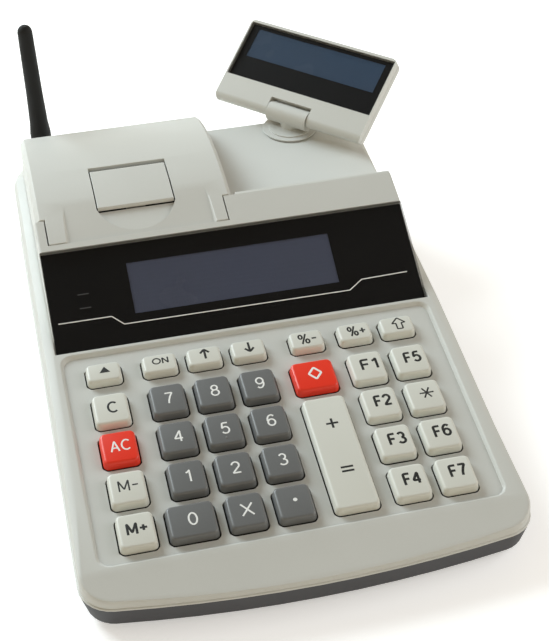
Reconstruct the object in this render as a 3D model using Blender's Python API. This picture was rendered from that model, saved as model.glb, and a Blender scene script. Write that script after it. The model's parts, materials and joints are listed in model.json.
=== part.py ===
"""Ticket register: a small electronic cash register with a built-in receipt printer.

X runs to the operator's right, Y to the back and Z up. The register stands on the plane Z = 0,
and the origin is the middle of its overall width and length, customer display included.
Inside the script X is zero on the case's middle and Y near the window's lower edge, and
body_root carries the shift from there to the origin.
"""

import math

import bmesh
import bpy
from mathutils import Matrix, Vector

MM = 0.001

# Clearances shared by pieces that touch
CLEAR = 0.3 * MM
RUNNING = 0.35 * MM
OVERRUN = 3.0 * MM
MERGE_DISTANCE = 0.0001 * MM
ROUND_SEGMENTS = 28
SMALL_SEGMENTS = 12
CORNER_STEPS = 4
CASE_CORNER_STEPS = 7

# Base and walls of the case
CASE_WALL = 2.2 * MM
BASE_BOTTOM_Z = 2.5 * MM
BASE_HEIGHT = 10.0 * MM
BASE_INSET = 2.4 * MM
BASE_CHAMFER = 0.9 * MM
SEAM_GAP = 0.05 * MM
PARTING_Z = BASE_BOTTOM_Z + BASE_HEIGHT
FRONT_LIP_HEIGHT = 2.7 * MM
FRONT_LIP_Z = PARTING_Z + FRONT_LIP_HEIGHT
FRONT_FILLET = 1.4 * MM
FLANGE_HEIGHT = 0.7 * MM
FLANGE_STEP = 0.5 * MM
SIDE_FILLET = 4.2 * MM

# Keys: caps that stand in holes of the tray floor
KEY_WIDTH = 13.7 * MM
KEY_DEPTH = 15.2 * MM
SMALL_KEY_DEPTH = 9.8 * MM
TOTAL_KEY_WIDTH = 16.8 * MM
ZERO_KEY_EXTRA = 3.95 * MM
ZERO_KEY_WIDTH = KEY_WIDTH + ZERO_KEY_EXTRA
KEY_HEIGHT = 3.4 * MM
KEY_CORNER = 1.6 * MM
KEY_DRAFT = 0.45 * MM
KEY_EDGE = 0.7 * MM
KEY_HOLE_GAP = 0.5 * MM
KEY_FLANGE = 0.8 * MM
KEY_FLANGE_THICKNESS = 1.0 * MM
KEY_TRAVEL = 2.0 * MM
KEY_STEM_WIDTH = 6.0 * MM
KEY_STEM_LENGTH = 0.8 * MM

# Spaces between the caps, and the rows and columns that follow from them
KEY_COLUMN_SPACE = 3.84 * MM
KEY_ROW_SPACE = 3.85 * MM
SMALL_ROW_SPACE = 6.3 * MM
LEFT_COLUMN_SPACE = 8.02 * MM
TOTAL_COLUMN_SPACE = 6.61 * MM
GROUP_COLUMN_SPACE = 5.86 * MM
LAST_COLUMN_SPACE = 3.69 * MM
KEY_BLOCK_X = -0.39 * MM
KEY_COLUMN_PITCH = KEY_WIDTH + KEY_COLUMN_SPACE
KEY_ROW_PITCH = KEY_DEPTH + KEY_ROW_SPACE
DIGIT_COLUMN_STEP = KEY_WIDTH + LEFT_COLUMN_SPACE
TOTAL_COLUMN_STEP = 2 * KEY_COLUMN_PITCH + (KEY_WIDTH + TOTAL_KEY_WIDTH) / 2 + TOTAL_COLUMN_SPACE
GROUP_COLUMN_STEP = (KEY_WIDTH + TOTAL_KEY_WIDTH) / 2 + GROUP_COLUMN_SPACE
LAST_COLUMN_STEP = KEY_WIDTH + LAST_COLUMN_SPACE
KEY_BLOCK_SPAN = DIGIT_COLUMN_STEP + TOTAL_COLUMN_STEP + GROUP_COLUMN_STEP + LAST_COLUMN_STEP
LEFT_COLUMN_X = KEY_BLOCK_X - KEY_BLOCK_SPAN / 2
DIGIT_COLUMN_X = LEFT_COLUMN_X + DIGIT_COLUMN_STEP
TOTAL_COLUMN_X = DIGIT_COLUMN_X + TOTAL_COLUMN_STEP
GROUP_COLUMN_X = TOTAL_COLUMN_X + GROUP_COLUMN_STEP
LAST_COLUMN_X = GROUP_COLUMN_X + LAST_COLUMN_STEP
FIRST_ROW_Y = 7.6 * MM
SMALL_ROW_Y = FIRST_ROW_Y + (KEY_DEPTH + SMALL_KEY_DEPTH) / 2 + SMALL_ROW_SPACE

# Key tray: a floor that slopes up to the back, inside a low rim
WINDOW_Y = -1.9 * MM
TRAY_TILT = math.radians(8.0)
TRAY_RISE = 15.1 * MM
TRAY_Z = PARTING_Z + TRAY_RISE
TRAY_RIM = 1.5 * MM
TRAY_CORNER = 4.5 * MM
TRAY_DRAFT = 1.0 * MM
TRAY_SIDE_MARGIN = 8.17 * MM
TRAY_FRONT_MARGIN = 3.45 * MM
TRAY_BACK_MARGIN = 6.7 * MM
TRAY_WINDOW_GAP = 2.6 * MM
TRAY_HALF_WIDTH = (KEY_BLOCK_SPAN + KEY_WIDTH) / 2 + TRAY_SIDE_MARGIN
TRAY_FRONT = FIRST_ROW_Y - 3 * KEY_ROW_PITCH - KEY_DEPTH / 2 - TRAY_FRONT_MARGIN
TRAY_BACK = SMALL_ROW_Y + SMALL_KEY_DEPTH / 2 + TRAY_BACK_MARGIN
TRAY_Y = WINDOW_Y - TRAY_WINDOW_GAP - TRAY_BACK

# Key mat and main board, under the tray floor and parallel to it
BOARD_SIDE_GAP = 1.1 * MM
BOARD_HALF_WIDTH = TRAY_HALF_WIDTH - BOARD_SIDE_GAP
BOARD_THICKNESS = 1.6 * MM
BOARD_POST_RADIUS = 2.6 * MM
BOARD_POST_INSET = 2.3 * MM
BOARD_POST_X = BOARD_HALF_WIDTH - BOARD_POST_INSET
BOARD_POST_MARGIN = 8.0 * MM
MAT_POST_GAP = 1.6 * MM
MAT_HALF_WIDTH = BOARD_POST_X - BOARD_POST_RADIUS - MAT_POST_GAP
MAT_FRONT_INSET = 1.6 * MM
MAT_BACK_INSET = 3.0 * MM
MAT_FRONT = TRAY_FRONT + MAT_FRONT_INSET
MAT_BACK = TRAY_BACK - MAT_BACK_INSET
MAT_THICKNESS = 1.0 * MM
MAT_DOME_TOP_RADIUS = 2.4 * MM
MAT_DOME_FLARE = 1.2 * MM
MAT_DOME_RADIUS = MAT_DOME_TOP_RADIUS + MAT_DOME_FLARE
DOME_SEGMENTS = 8
CHIP_SIZE = 14.0 * MM
CHIP_THICKNESS = 2.2 * MM
BOARD_PLUG_WIDTH = 22.0 * MM
BOARD_PLUG_DEPTH = 5.0 * MM
BOARD_PLUG_HEIGHT = 4.0 * MM

# Operator's window: a smoked acrylic plate on the slope behind the keys
WINDOW_TILT = math.radians(29.5)
WINDOW_STEP = 0.944 * MM
WINDOW_Z = TRAY_Z + math.tan(TRAY_TILT) * (WINDOW_Y - TRAY_Y) + WINDOW_STEP
WINDOW_THICKNESS = 2.0 * MM
WINDOW_TOP_MARGIN = 8.8 * MM
LCD_HALF_WIDTH = 42.0 * MM
LCD_LOW = 13.2 * MM
LCD_HEIGHT = 22.4 * MM
LCD_HIGH = LCD_LOW + LCD_HEIGHT
LCD_BOARD_MARGIN = 6.0 * MM
LCD_BOARD_THICKNESS = 1.6 * MM
WINDOW_LENGTH = LCD_HIGH + WINDOW_TOP_MARGIN
STRIP_Y = WINDOW_Y + (WINDOW_LENGTH + CLEAR) * math.cos(WINDOW_TILT)
STRIP_Z = WINDOW_Z + (WINDOW_LENGTH + CLEAR) * math.sin(WINDOW_TILT)

# Raised block: the strip behind the window, the ridge and the deck
BLOCK_SHOULDER = 2.0 * MM
BLOCK_HALF_WIDTH = TRAY_HALF_WIDTH + BLOCK_SHOULDER
STRIP_DEPTH = 15.1 * MM
STRIP_RISE = 4.6 * MM
RIDGE_Y = STRIP_Y + STRIP_DEPTH
RIDGE_Z = STRIP_Z + STRIP_RISE
RIDGE_FLAT = 1.6 * MM
RIDGE_BACK_RUN = 8.3 * MM
RIDGE_FOOT_Y = RIDGE_Y + RIDGE_FLAT + RIDGE_BACK_RUN
DECK_DROP = 6.26 * MM
DECK_Z = STRIP_Z - DECK_DROP
BLOCK_CORNER = 9.0 * MM
BLOCK_FILLET = 1.3 * MM
BLOCK_FOOT_RISE = 7.5 * MM
BLOCK_FOOT_Z = PARTING_Z + BLOCK_FOOT_RISE
BLOCK_TOE = 0.5 * MM

# Printer: platen, paper trough and chassis
PAPER_WIDTH = 59.0 * MM
PAPER_ENTRY = 3.0 * MM
LID_FRONT_Y = STRIP_Y + PAPER_ENTRY
PLATEN_SETBACK = 7.0 * MM
PLATEN_Y = LID_FRONT_Y + PLATEN_SETBACK
PLATEN_RADIUS = 4.4 * MM
SHAFT_RADIUS = 2.0 * MM
TROUGH_WALL = 1.6 * MM
TROUGH_RADIUS = 27.0 * MM
TROUGH_FRONT_GAP = 15.0 * MM
TROUGH_Y = PLATEN_Y + TROUGH_FRONT_GAP + TROUGH_RADIUS
TROUGH_STEPS = 12
CHASSIS_FLOOR_GAP = 0.5 * MM
CHASSIS_BOTTOM_Z = BASE_BOTTOM_Z + CASE_WALL + CHASSIS_FLOOR_GAP
TROUGH_FLOOR_RISE = 1.7 * MM
TROUGH_Z = CHASSIS_BOTTOM_Z + TROUGH_WALL + TROUGH_FLOOR_RISE + TROUGH_RADIUS
CHASSIS_NOSE = 14.0 * MM
CHASSIS_FRONT_Y = PLATEN_Y - CHASSIS_NOSE
CHASSIS_TOP_GAP = 1.0 * MM
CHASSIS_TOP_Z = DECK_Z - CASE_WALL - CHASSIS_TOP_GAP
PLATEN_DROP = 1.4 * MM
PLATEN_Z = CHASSIS_TOP_Z - PLATEN_DROP
BEARING_CHEEK_WALL = 1.1 * MM
BEARING_CHEEK_HALF = PLATEN_RADIUS + BEARING_CHEEK_WALL
BEARING_CHEEK_TOP_Z = PLATEN_Z + BEARING_CHEEK_HALF

# Opening in the case under the lid, and the case's back
BAY_SIDE_GAP = 2.7 * MM
BAY_HALF_WIDTH = PAPER_WIDTH / 2 + BAY_SIDE_GAP
BAY_BACK_GAP = 1.9 * MM
BAY_BACK_Y = TROUGH_Y + TROUGH_RADIUS + TROUGH_WALL + BAY_BACK_GAP
BAY_SHELF = 6.5 * MM
CASE_BACK_Y = BAY_BACK_Y + BAY_SHELF
DECK_BACK_INSET = 1.6 * MM
DECK_BACK_Y = CASE_BACK_Y - DECK_BACK_INSET

# Case outline in plan
CASE_FRONT_SHOULDER = 6.7 * MM
CASE_BACK_SHOULDER = 5.4 * MM
CASE_FRONT_HALF_WIDTH = BLOCK_HALF_WIDTH + CASE_FRONT_SHOULDER
CASE_BACK_HALF_WIDTH = BLOCK_HALF_WIDTH + CASE_BACK_SHOULDER
APRON_OVERLAP = 1.6 * MM
APRON_DEPTH = 21.0 * MM
APRON_Y = TRAY_Y + TRAY_FRONT + APRON_OVERLAP
CASE_FRONT_Y = APRON_Y - APRON_DEPTH
CASE_FRONT_BOW = 5.5 * MM
CASE_FRONT_CORNER = 13.0 * MM
CASE_BACK_CORNER = 14.0 * MM
BOW_STEPS = 5
FRONT_FILLET_Y = APRON_Y - APRON_DEPTH / 2
SIDE_FILLET_RUN = 31.5 * MM
SIDE_FILLET_Y = APRON_Y + SIDE_FILLET_RUN
CHEEK_DROP = 4.5 * MM
CHEEK_BACK_Z = DECK_Z - CHEEK_DROP

# Printer lid
LID_SIDE_INSET = 0.4 * MM
LID_GAP = 0.5 * MM
LID_LEFT_MARGIN = 12.6 * MM
LID_RIGHT_MARGIN = 10.0 * MM
LID_LEFT_X = LID_SIDE_INSET - BLOCK_HALF_WIDTH
PAPER_X = LID_LEFT_X + LID_LEFT_MARGIN + PAPER_WIDTH / 2
LID_RIGHT_X = PAPER_X + PAPER_WIDTH / 2 + LID_RIGHT_MARGIN
LID_FLARE = 1.3 * MM
LID_STEP_GAP = 0.6 * MM
LID_STEP_Y = RIDGE_Y + LID_STEP_GAP
LID_BACK_Y = CASE_BACK_Y
LID_FRONT_RISE = 1.14 * MM
LID_STEP_RISE = 0.34 * MM
LID_FRONT_Z = STRIP_Z + LID_FRONT_RISE
LID_STEP_Z = RIDGE_Z + LID_STEP_RISE
LID_TOP_RUN = 33.3 * MM
LID_TOP_RISE = 3.7 * MM
LID_TOP_Y = LID_STEP_Y + LID_TOP_RUN
LID_TOP_Z = LID_STEP_Z + LID_TOP_RISE
LID_BACK_RUN = 5.0 * MM
LID_BACK_DROP = 6.3 * MM
LID_BACK_TOP_Y = LID_BACK_Y - LID_BACK_RUN
LID_BACK_TOP_Z = LID_TOP_Z - LID_BACK_DROP
LID_SKIRT_Z = DECK_Z + CLEAR
LID_WALL = 1.8 * MM
LID_EDGE = 1.3 * MM
LID_LEFT_EDGE = 2.0 * MM
LID_CORNER = 4.0 * MM
LID_ROUND = 4.5 * MM
LID_ROUND_START = math.radians(60.0)
LID_DOME_STEPS = 7
TONGUE_THICKNESS = 3.2 * MM
TONGUE_LEFT_INSET = 4.1 * MM
TONGUE_RIGHT_INSET = 3.8 * MM
TONGUE_LEFT_X = LID_LEFT_X + TONGUE_LEFT_INSET
TONGUE_RIGHT_X = LID_RIGHT_X - TONGUE_RIGHT_INSET
HINGE_SETBACK = 0.8 * MM
HINGE_RISE = 0.1 * MM
HINGE_Y = LID_BACK_Y + HINGE_SETBACK
HINGE_Z = DECK_Z + HINGE_RISE
HINGE_PIN_RADIUS = 1.1 * MM
HINGE_WALL = 1.3 * MM
HINGE_RADIUS = HINGE_PIN_RADIUS + HINGE_WALL
HINGE_WEB_START = math.radians(80.0)
LID_KNUCKLE_HALF = 20.0 * MM
CASE_KNUCKLE_WIDTH = 10.0 * MM

# Lid latch: a flap that tips up at its front edge
SLOT_HALF_WIDTH = 16.4 * MM
SLOT_SETBACK = 1.7 * MM
SLOT_LENGTH = 26.6 * MM
SLOT_FRONT_Y = LID_STEP_Y + SLOT_SETBACK
SLOT_BACK_Y = SLOT_FRONT_Y + SLOT_LENGTH
LATCH_GAP = 0.5 * MM
LATCH_BACK_GAP = 2.6 * MM
LATCH_THICKNESS = 1.8 * MM
LATCH_PIN_RADIUS = 1.2 * MM
LATCH_HUB_WALL = 1.0 * MM
LATCH_HUB_RADIUS = LATCH_PIN_RADIUS + LATCH_HUB_WALL
LATCH_PIVOT_GAP = 2.0 * MM
LATCH_PIVOT_DROP = LATCH_HUB_RADIUS + LATCH_PIVOT_GAP
LATCH_HUB_WIDTH = 5.0 * MM
LATCH_EAR_WIDTH = 2.4 * MM
LATCH_LEG_WIDTH = 8.0 * MM
LATCH_LEG_LENGTH = 7.0 * MM

# Paper channel that ramps up the lid's front, and the finger dish before the latch
CHANNEL_DEPTH = 1.2 * MM
CHANNEL_RUN_OUT = 4.1 * MM
CHANNEL_BACK_Y = SLOT_FRONT_Y + CHANNEL_RUN_OUT
CHANNEL_FLARE_SHARE = 1.25
LIFT_RADIUS = 17.0 * MM
LIFT_DEPTH = 1.5 * MM
LIFT_REACH = 12.0 * MM
LIFT_STEPS = 16

# Gear train on the chassis's right cheek
GEAR_MODULE = 0.8 * MM
PLATEN_TEETH = 14
IDLER_TEETH = 20
PINION_TEETH = 10
GEAR_WIDTH = 3.2 * MM
GEAR_GAP = 0.5 * MM
GEAR_BACKLASH = 0.3 * MM
GEAR_TIP_SHARE = 0.8
TOOTH_SHARES = ((-0.34, False), (-0.11, True), (0.11, True), (0.34, False))
IDLER_ANGLE = math.radians(-75.0)
PINION_ANGLE = math.radians(-100.0)
IDLER_AXLE_RADIUS = 1.5 * MM
MOTOR_RADIUS = 9.0 * MM
MOTOR_LENGTH = 14.0 * MM
MOTOR_SHAFT_RADIUS = 1.0 * MM
MOTOR_FLANGE = 2.0 * MM
MOTOR_FLANGE_THICKNESS = 1.0 * MM

# Thermal print head, leaning on the platen from the front
PRINT_HEAD_THICKNESS = 3.0 * MM
PRINT_HEAD_HEIGHT = 14.0 * MM
PRINT_HEAD_RISE = 5.0 * MM

# Battery pack, and the interface board with its sockets behind the deck
BATTERY_X = 18.0 * MM
BATTERY_SIZE = (52.0 * MM, 30.0 * MM, 9.0 * MM)
BATTERY_Y = -30.0 * MM
REAR_BOARD_HALF = 24.0 * MM
REAR_BOARD_MARGIN = 10.6 * MM
REAR_BOARD_X = BLOCK_HALF_WIDTH - REAR_BOARD_MARGIN - REAR_BOARD_HALF
REAR_BOARD_DEPTH = 46.0 * MM
REAR_BOARD_RISE = 4.5 * MM
REAR_BOARD_Z = PARTING_Z + REAR_BOARD_RISE
SOCKET_WALL = 1.6 * MM
SOCKET_ROOF = 2.5 * MM
SOCKET_BACK_WALL = 3.0 * MM
SOCKET_MOUTH_WIDTH = 9.8 * MM
SOCKET_MOUTH_HEIGHT = 7.0 * MM
SOCKET_MOUTH_DEPTH = 12.0 * MM
SOCKET_WIDTH = SOCKET_MOUTH_WIDTH + 2 * SOCKET_WALL
SOCKET_HEIGHT = SOCKET_MOUTH_HEIGHT + 2 * SOCKET_ROOF
SOCKET_DEPTH = SOCKET_MOUTH_DEPTH + SOCKET_BACK_WALL
SOCKET_OFFSETS_SHARE = (-0.62, 0.0)
SOCKET_PROUD = 0.8 * MM
INLET_BORE = 2.8 * MM
INLET_WALL = 1.6 * MM
INLET_RADIUS = INLET_BORE + INLET_WALL
INLET_PIN = 1.0 * MM
INLET_OFFSET_SHARE = 0.62
INLET_DEPTH_SHARE = 0.75
INLET_HEIGHT = 6.0 * MM

# Base screws and feet
SCREW_FRONT_SIDE_INSET = 42.3 * MM
SCREW_BACK_SIDE_INSET = 10.5 * MM
SCREW_FRONT_INSET = 14.5 * MM
SCREW_BACK_INSET = 22.0 * MM
SCREW_FRONT_X = CASE_FRONT_HALF_WIDTH - SCREW_FRONT_SIDE_INSET
SCREW_BACK_X = CASE_BACK_HALF_WIDTH - SCREW_BACK_SIDE_INSET
SCREW_FRONT_Y = CASE_FRONT_Y + SCREW_FRONT_INSET
SCREW_BACK_Y = CASE_BACK_Y - SCREW_BACK_INSET
SCREW_HOLE_RADIUS = 1.7 * MM
SCREW_BOSS_WALL = 2.3 * MM
SCREW_BOSS_RADIUS = SCREW_HOLE_RADIUS + SCREW_BOSS_WALL
SCREW_HEAD_LEDGE = 1.7 * MM
SCREW_HEAD_RADIUS = SCREW_HOLE_RADIUS + SCREW_HEAD_LEDGE
SCREW_HEAD_DEPTH = 2.4 * MM
FOOT_STUD_RADIUS = 2.5 * MM
FOOT_SHOULDER = 4.0 * MM
FOOT_RADIUS = FOOT_STUD_RADIUS + FOOT_SHOULDER
FOOT_SIDE_INSET = 24.3 * MM
FOOT_FRONT_INSET = 22.5 * MM
FOOT_BACK_INSET = 38.0 * MM
FOOT_X = CASE_FRONT_HALF_WIDTH - FOOT_SIDE_INSET
FOOT_FRONT_Y = CASE_FRONT_Y + FOOT_FRONT_INSET
FOOT_BACK_Y = CASE_BACK_Y - FOOT_BACK_INSET
FOOT_RIM = 1.0 * MM

# Customer display: turntable, tilting barrel and a thin head
NECK_SIDE_INSET = 28.7 * MM
NECK_BACK_INSET = 8.6 * MM
NECK_X = BLOCK_HALF_WIDTH - NECK_SIDE_INSET
NECK_Y = DECK_BACK_Y - NECK_BACK_INSET
NECK_BORE_RADIUS = 2.4 * MM
NECK_STALK_WALL = 1.9 * MM
NECK_STALK_RADIUS = NECK_BORE_RADIUS + NECK_STALK_WALL
NECK_HOLE_MARGIN = 0.6 * MM
NECK_HOLE_RADIUS = NECK_STALK_RADIUS + NECK_HOLE_MARGIN
NECK_COLLAR_LIP = 0.6 * MM
NECK_COLLAR_RADIUS = NECK_HOLE_RADIUS + NECK_COLLAR_LIP
NECK_CONE_FLARE = 2.9 * MM
NECK_CONE_RADIUS = NECK_STALK_RADIUS + NECK_CONE_FLARE
NECK_RING_WIDTH = 2.4 * MM
NECK_RING_RADIUS = NECK_CONE_RADIUS + NECK_RING_WIDTH
NECK_DISC_RIM = 2.8 * MM
NECK_DISC_RADIUS = NECK_RING_RADIUS + NECK_DISC_RIM
NECK_DISC_THICKNESS = 0.6 * MM
NECK_RING_STEP = 0.45 * MM
NECK_TAIL = 3.0 * MM
SWIVEL_REST = math.radians(-46.2)
TILT_REST = math.radians(54.3)
BARREL_RADIUS = 4.5 * MM
BARREL_LIFT = 2.1 * MM
BARREL_HEIGHT = BARREL_RADIUS + BARREL_LIFT
BARREL_HALF_LENGTH = 10.3 * MM
TILT_PIN_RADIUS = 1.4 * MM
TILT_PIN_LENGTH = 3.0 * MM
NOTCH_GAP = 0.45 * MM
HEAD_BROW = 5.25 * MM
HEAD_WINDOW_LOW = BARREL_RADIUS + NOTCH_GAP + HEAD_BROW
HEAD_WINDOW_MARGIN = 0.9 * MM
HEAD_WINDOW_TOP_MARGIN = 1.5 * MM
HEAD_WINDOW_HEIGHT = 27.2 * MM
HEAD_WINDOW_THICKNESS = 1.4 * MM
HEAD_LCD_HALF_WIDTH = 34.0 * MM
HEAD_LCD_SIDE_MARGIN = 4.8 * MM
HEAD_LCD_LOW_SHARE = 0.40
HEAD_LCD_HIGH_SHARE = 0.93
HEAD_LCD_THICKNESS = 1.8 * MM
HEAD_HALF_WIDTH = HEAD_LCD_HALF_WIDTH + HEAD_LCD_SIDE_MARGIN
HEAD_TOP = HEAD_WINDOW_LOW + HEAD_WINDOW_HEIGHT + HEAD_WINDOW_TOP_MARGIN
HEAD_BOTTOM = 3.0 * MM
HEAD_FACE = 4.0 * MM
HEAD_THICKNESS = 6.4 * MM
HEAD_SPLIT = 3.6 * MM
HEAD_CORNER = 2.0 * MM
HEAD_WALL = 1.2 * MM
HEAD_NOSE_STEPS = 8

# Antenna: a stub on a swivelling knuckle at the back left
ANTENNA_SIDE_INSET = 11.0 * MM
ANTENNA_SETBACK = 21.6 * MM
ANTENNA_DROP = 14.0 * MM
ANTENNA_X = LID_LEFT_X + ANTENNA_SIDE_INSET
ANTENNA_Y = DECK_BACK_Y + ANTENNA_SETBACK
ANTENNA_Z = DECK_Z - ANTENNA_DROP
ANTENNA_LEAN = math.radians(-1.2)
ANTENNA_STEM_RADIUS = 3.0 * MM
ANTENNA_NUT_WALL = 1.6 * MM
ANTENNA_NUT_RADIUS = ANTENNA_STEM_RADIUS + ANTENNA_NUT_WALL
ANTENNA_NUT_LENGTH = 8.0 * MM
ANTENNA_EAR = 2.2 * MM
ANTENNA_KNUCKLE_RADIUS = 4.2 * MM
ANTENNA_TONGUE_HALF = 1.9 * MM
ANTENNA_PIN_RADIUS = 1.2 * MM
ANTENNA_PIN_HOLE_RADIUS = ANTENNA_PIN_RADIUS + RUNNING
ANTENNA_TIP_RADIUS = 3.3 * MM
ANTENNA_TAPER = 0.4 * MM
ANTENNA_WAIST_RADIUS = ANTENNA_TIP_RADIUS + ANTENNA_TAPER
ANTENNA_FLARE = 1.0 * MM
ANTENNA_FOOT_RADIUS = ANTENNA_WAIST_RADIUS + ANTENNA_FLARE
ANTENNA_FOOT_GAP = 1.0 * MM
ANTENNA_FOOT_Z = ANTENNA_KNUCKLE_RADIUS + ANTENNA_FOOT_GAP
ANTENNA_SLEEVE = 11.8 * MM
ANTENNA_NECK_LENGTH = 15.0 * MM
ANTENNA_ROD_LENGTH = 34.0 * MM
ANTENNA_FLARE_Z = ANTENNA_FOOT_Z + ANTENNA_SLEEVE
ANTENNA_WAIST_Z = ANTENNA_FLARE_Z + ANTENNA_NECK_LENGTH
ANTENNA_LENGTH = ANTENNA_WAIST_Z + ANTENNA_ROD_LENGTH
ANTENNA_TIP_STEPS = 4

# Colours, roughness and metal of each finish
FINISHES = {
    "shell": ((0.578, 0.584, 0.521), 0.5, 0.0),
    "base": ((0.065, 0.067, 0.080), 0.6, 0.0),
    "light_key": ((0.679, 0.686, 0.624), 0.45, 0.0),
    "dark_key": ((0.147, 0.153, 0.156), 0.5, 0.0),
    "red_key": ((0.776, 0.042, 0.021), 0.42, 0.0),
    "smoked": ((0.008, 0.008, 0.008), 0.08, 0.0),
    "panel": ((0.045, 0.050, 0.072), 0.2, 0.0),
    "rubber": ((0.015, 0.016, 0.016), 0.75, 0.0),
    "silicone": ((0.30, 0.31, 0.32), 0.7, 0.0),
    "board": ((0.020, 0.110, 0.045), 0.5, 0.0),
    "steel": ((0.55, 0.55, 0.56), 0.35, 1.0),
    "chassis": ((0.030, 0.031, 0.033), 0.55, 0.0),
    "gear": ((0.62, 0.60, 0.52), 0.45, 0.0),
    "battery": ((0.05, 0.13, 0.30), 0.45, 0.0),
}


def tray_plane_z(y):
    """Height of the tray floor's plane over a place along the case."""
    return TRAY_Z + math.tan(TRAY_TILT) * (y - TRAY_Y)


def window_point(along, out=0.0):
    """A (y, z) place on the window's slope, measured up it and square to it."""
    y = WINDOW_Y + along * math.cos(WINDOW_TILT) - out * math.sin(WINDOW_TILT)
    z = WINDOW_Z + along * math.sin(WINDOW_TILT) + out * math.cos(WINDOW_TILT)
    return y, z


def line_height(points, y):
    """Height at y on a line through (y, z) points, level beyond its ends."""
    if y <= points[0][0]:
        return points[0][1]
    for (y0, z0), (y1, z1) in zip(points, points[1:]):
        if y <= y1:
            return z0 + (z1 - z0) * (y - y0) / (y1 - y0)
    return points[-1][1]


def arc_points(centre, radius, start, end, steps):
    """Points along an arc in a plane, both ends included."""
    points = []
    for step in range(steps + 1):
        angle = start + (end - start) * step / steps
        points.append((centre[0] + radius * math.cos(angle), centre[1] + radius * math.sin(angle)))
    return points


def rounded_rectangle(x0, x1, y0, y1, radius, steps=CORNER_STEPS):
    """Anticlockwise outline of a rectangle with round corners."""
    quarter = math.pi / 2
    points = []
    corners = [(x1, y1), (x0, y1), (x0, y0), (x1, y0)]
    for turn, (x, y) in enumerate(corners):
        centre = (x - math.copysign(radius, x - (x0 + x1) / 2), y - math.copysign(radius, y - (y0 + y1) / 2))
        points += arc_points(centre, radius, turn * quarter, (turn + 1) * quarter, steps)
    return points


def new_material(name):
    colour, roughness, metallic = FINISHES[name]
    material = bpy.data.materials.new(name)
    material.use_nodes = True
    shader = material.node_tree.nodes["Principled BSDF"]
    shader.inputs["Base Color"].default_value = (*colour, 1.0)
    shader.inputs["Roughness"].default_value = roughness
    shader.inputs["Metallic"].default_value = metallic
    return material


def link_mesh(name, bm, parent):
    bmesh.ops.remove_doubles(bm, verts=bm.verts, dist=MERGE_DISTANCE)
    bmesh.ops.recalc_face_normals(bm, faces=bm.faces)
    mesh = bpy.data.meshes.new(name)
    bm.to_mesh(mesh)
    bm.free()
    piece = bpy.data.objects.new(name, mesh)
    piece.parent = parent
    bpy.context.collection.objects.link(piece)
    return piece


def add_piece(name, bm, finish, parent):
    """A named solid of the register."""
    piece = link_mesh(name, bm, parent)
    if finish not in bpy.data.materials:
        new_material(finish)
    piece.data.materials.append(bpy.data.materials[finish])
    return piece


def add_tool(name, bm, parent):
    """A shape that only cuts or joins, and isn't part of the register."""
    tool = link_mesh(name, bm, parent)
    tool.hide_render = True
    tool.display_type = "WIRE"
    return tool


def apply_tool(piece, tool, operation):
    modifier = piece.modifiers.new(tool.name, "BOOLEAN")
    modifier.object = tool
    modifier.operation = operation
    modifier.solver = "EXACT"


def cut(piece, name, bm, parent):
    apply_tool(piece, add_tool(name, bm, parent), "DIFFERENCE")


def join(piece, name, bm, parent):
    apply_tool(piece, add_tool(name, bm, parent), "UNION")


def add_axis(name, parent, place, turn=None):
    """An empty that carries pieces on a joint's axis or a sloping plane."""
    axis = bpy.data.objects.new(name, None)
    axis.parent = parent
    axis.location = place
    if turn is not None:
        axis.rotation_euler = turn.to_euler()
    bpy.context.collection.objects.link(axis)
    return axis


def add_box(bm, x0, x1, y0, y1, z0, z1):
    size = Matrix.Diagonal((x1 - x0, y1 - y0, z1 - z0, 1.0))
    centre = Matrix.Translation(((x0 + x1) / 2, (y0 + y1) / 2, (z0 + z1) / 2))
    bmesh.ops.create_cube(bm, size=1.0, matrix=centre @ size)


def box(x0, x1, y0, y1, z0, z1):
    bm = bmesh.new()
    add_box(bm, x0, x1, y0, y1, z0, z1)
    return bm


def add_loft(bm, loops):
    """Skin through rings of equal counts, closed by a face at each end."""
    rings = [[bm.verts.new(point) for point in loop] for loop in loops]
    for low, high in zip(rings, rings[1:]):
        for index in range(len(low)):
            after = (index + 1) % len(low)
            bm.faces.new((low[index], low[after], high[after], high[index]))
    bm.faces.new(reversed(rings[0]))
    bm.faces.new(rings[-1])


def place_on_axis(axis, along, u, v):
    """A point at `along` on the axis, with (u, v) on the plane square to it."""
    if axis == "X":
        return (along, u, v)
    if axis == "Y":
        return (u, along, v)
    return (u, v, along)


def add_prism(bm, outline, axis, start, end):
    """An outline pushed along an axis: (y, z) on X, (x, z) on Y and (x, y) on Z."""
    add_loft(bm, [[place_on_axis(axis, at, u, v) for u, v in outline] for at in (start, end)])


def prism(outline, axis, start, end):
    bm = bmesh.new()
    add_prism(bm, outline, axis, start, end)
    return bm


def add_turning(bm, profile, axis, u=0.0, v=0.0, segments=ROUND_SEGMENTS):
    """A turned solid: profile is (radius, along) from one end of the axis to the other."""
    loops = []
    for radius, along in profile:
        ring = arc_points((u, v), radius, 0.0, math.tau * (segments - 1) / segments, segments - 1)
        loops.append([place_on_axis(axis, along, *point) for point in ring])
    add_loft(bm, loops)


def turning(profile, axis, u=0.0, v=0.0, segments=ROUND_SEGMENTS):
    bm = bmesh.new()
    add_turning(bm, profile, axis, u, v, segments)
    return bm


def rod(radius, start, end, axis, u=0.0, v=0.0, segments=SMALL_SEGMENTS):
    return turning([(radius, start), (radius, end)], axis, u, v, segments)


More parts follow.
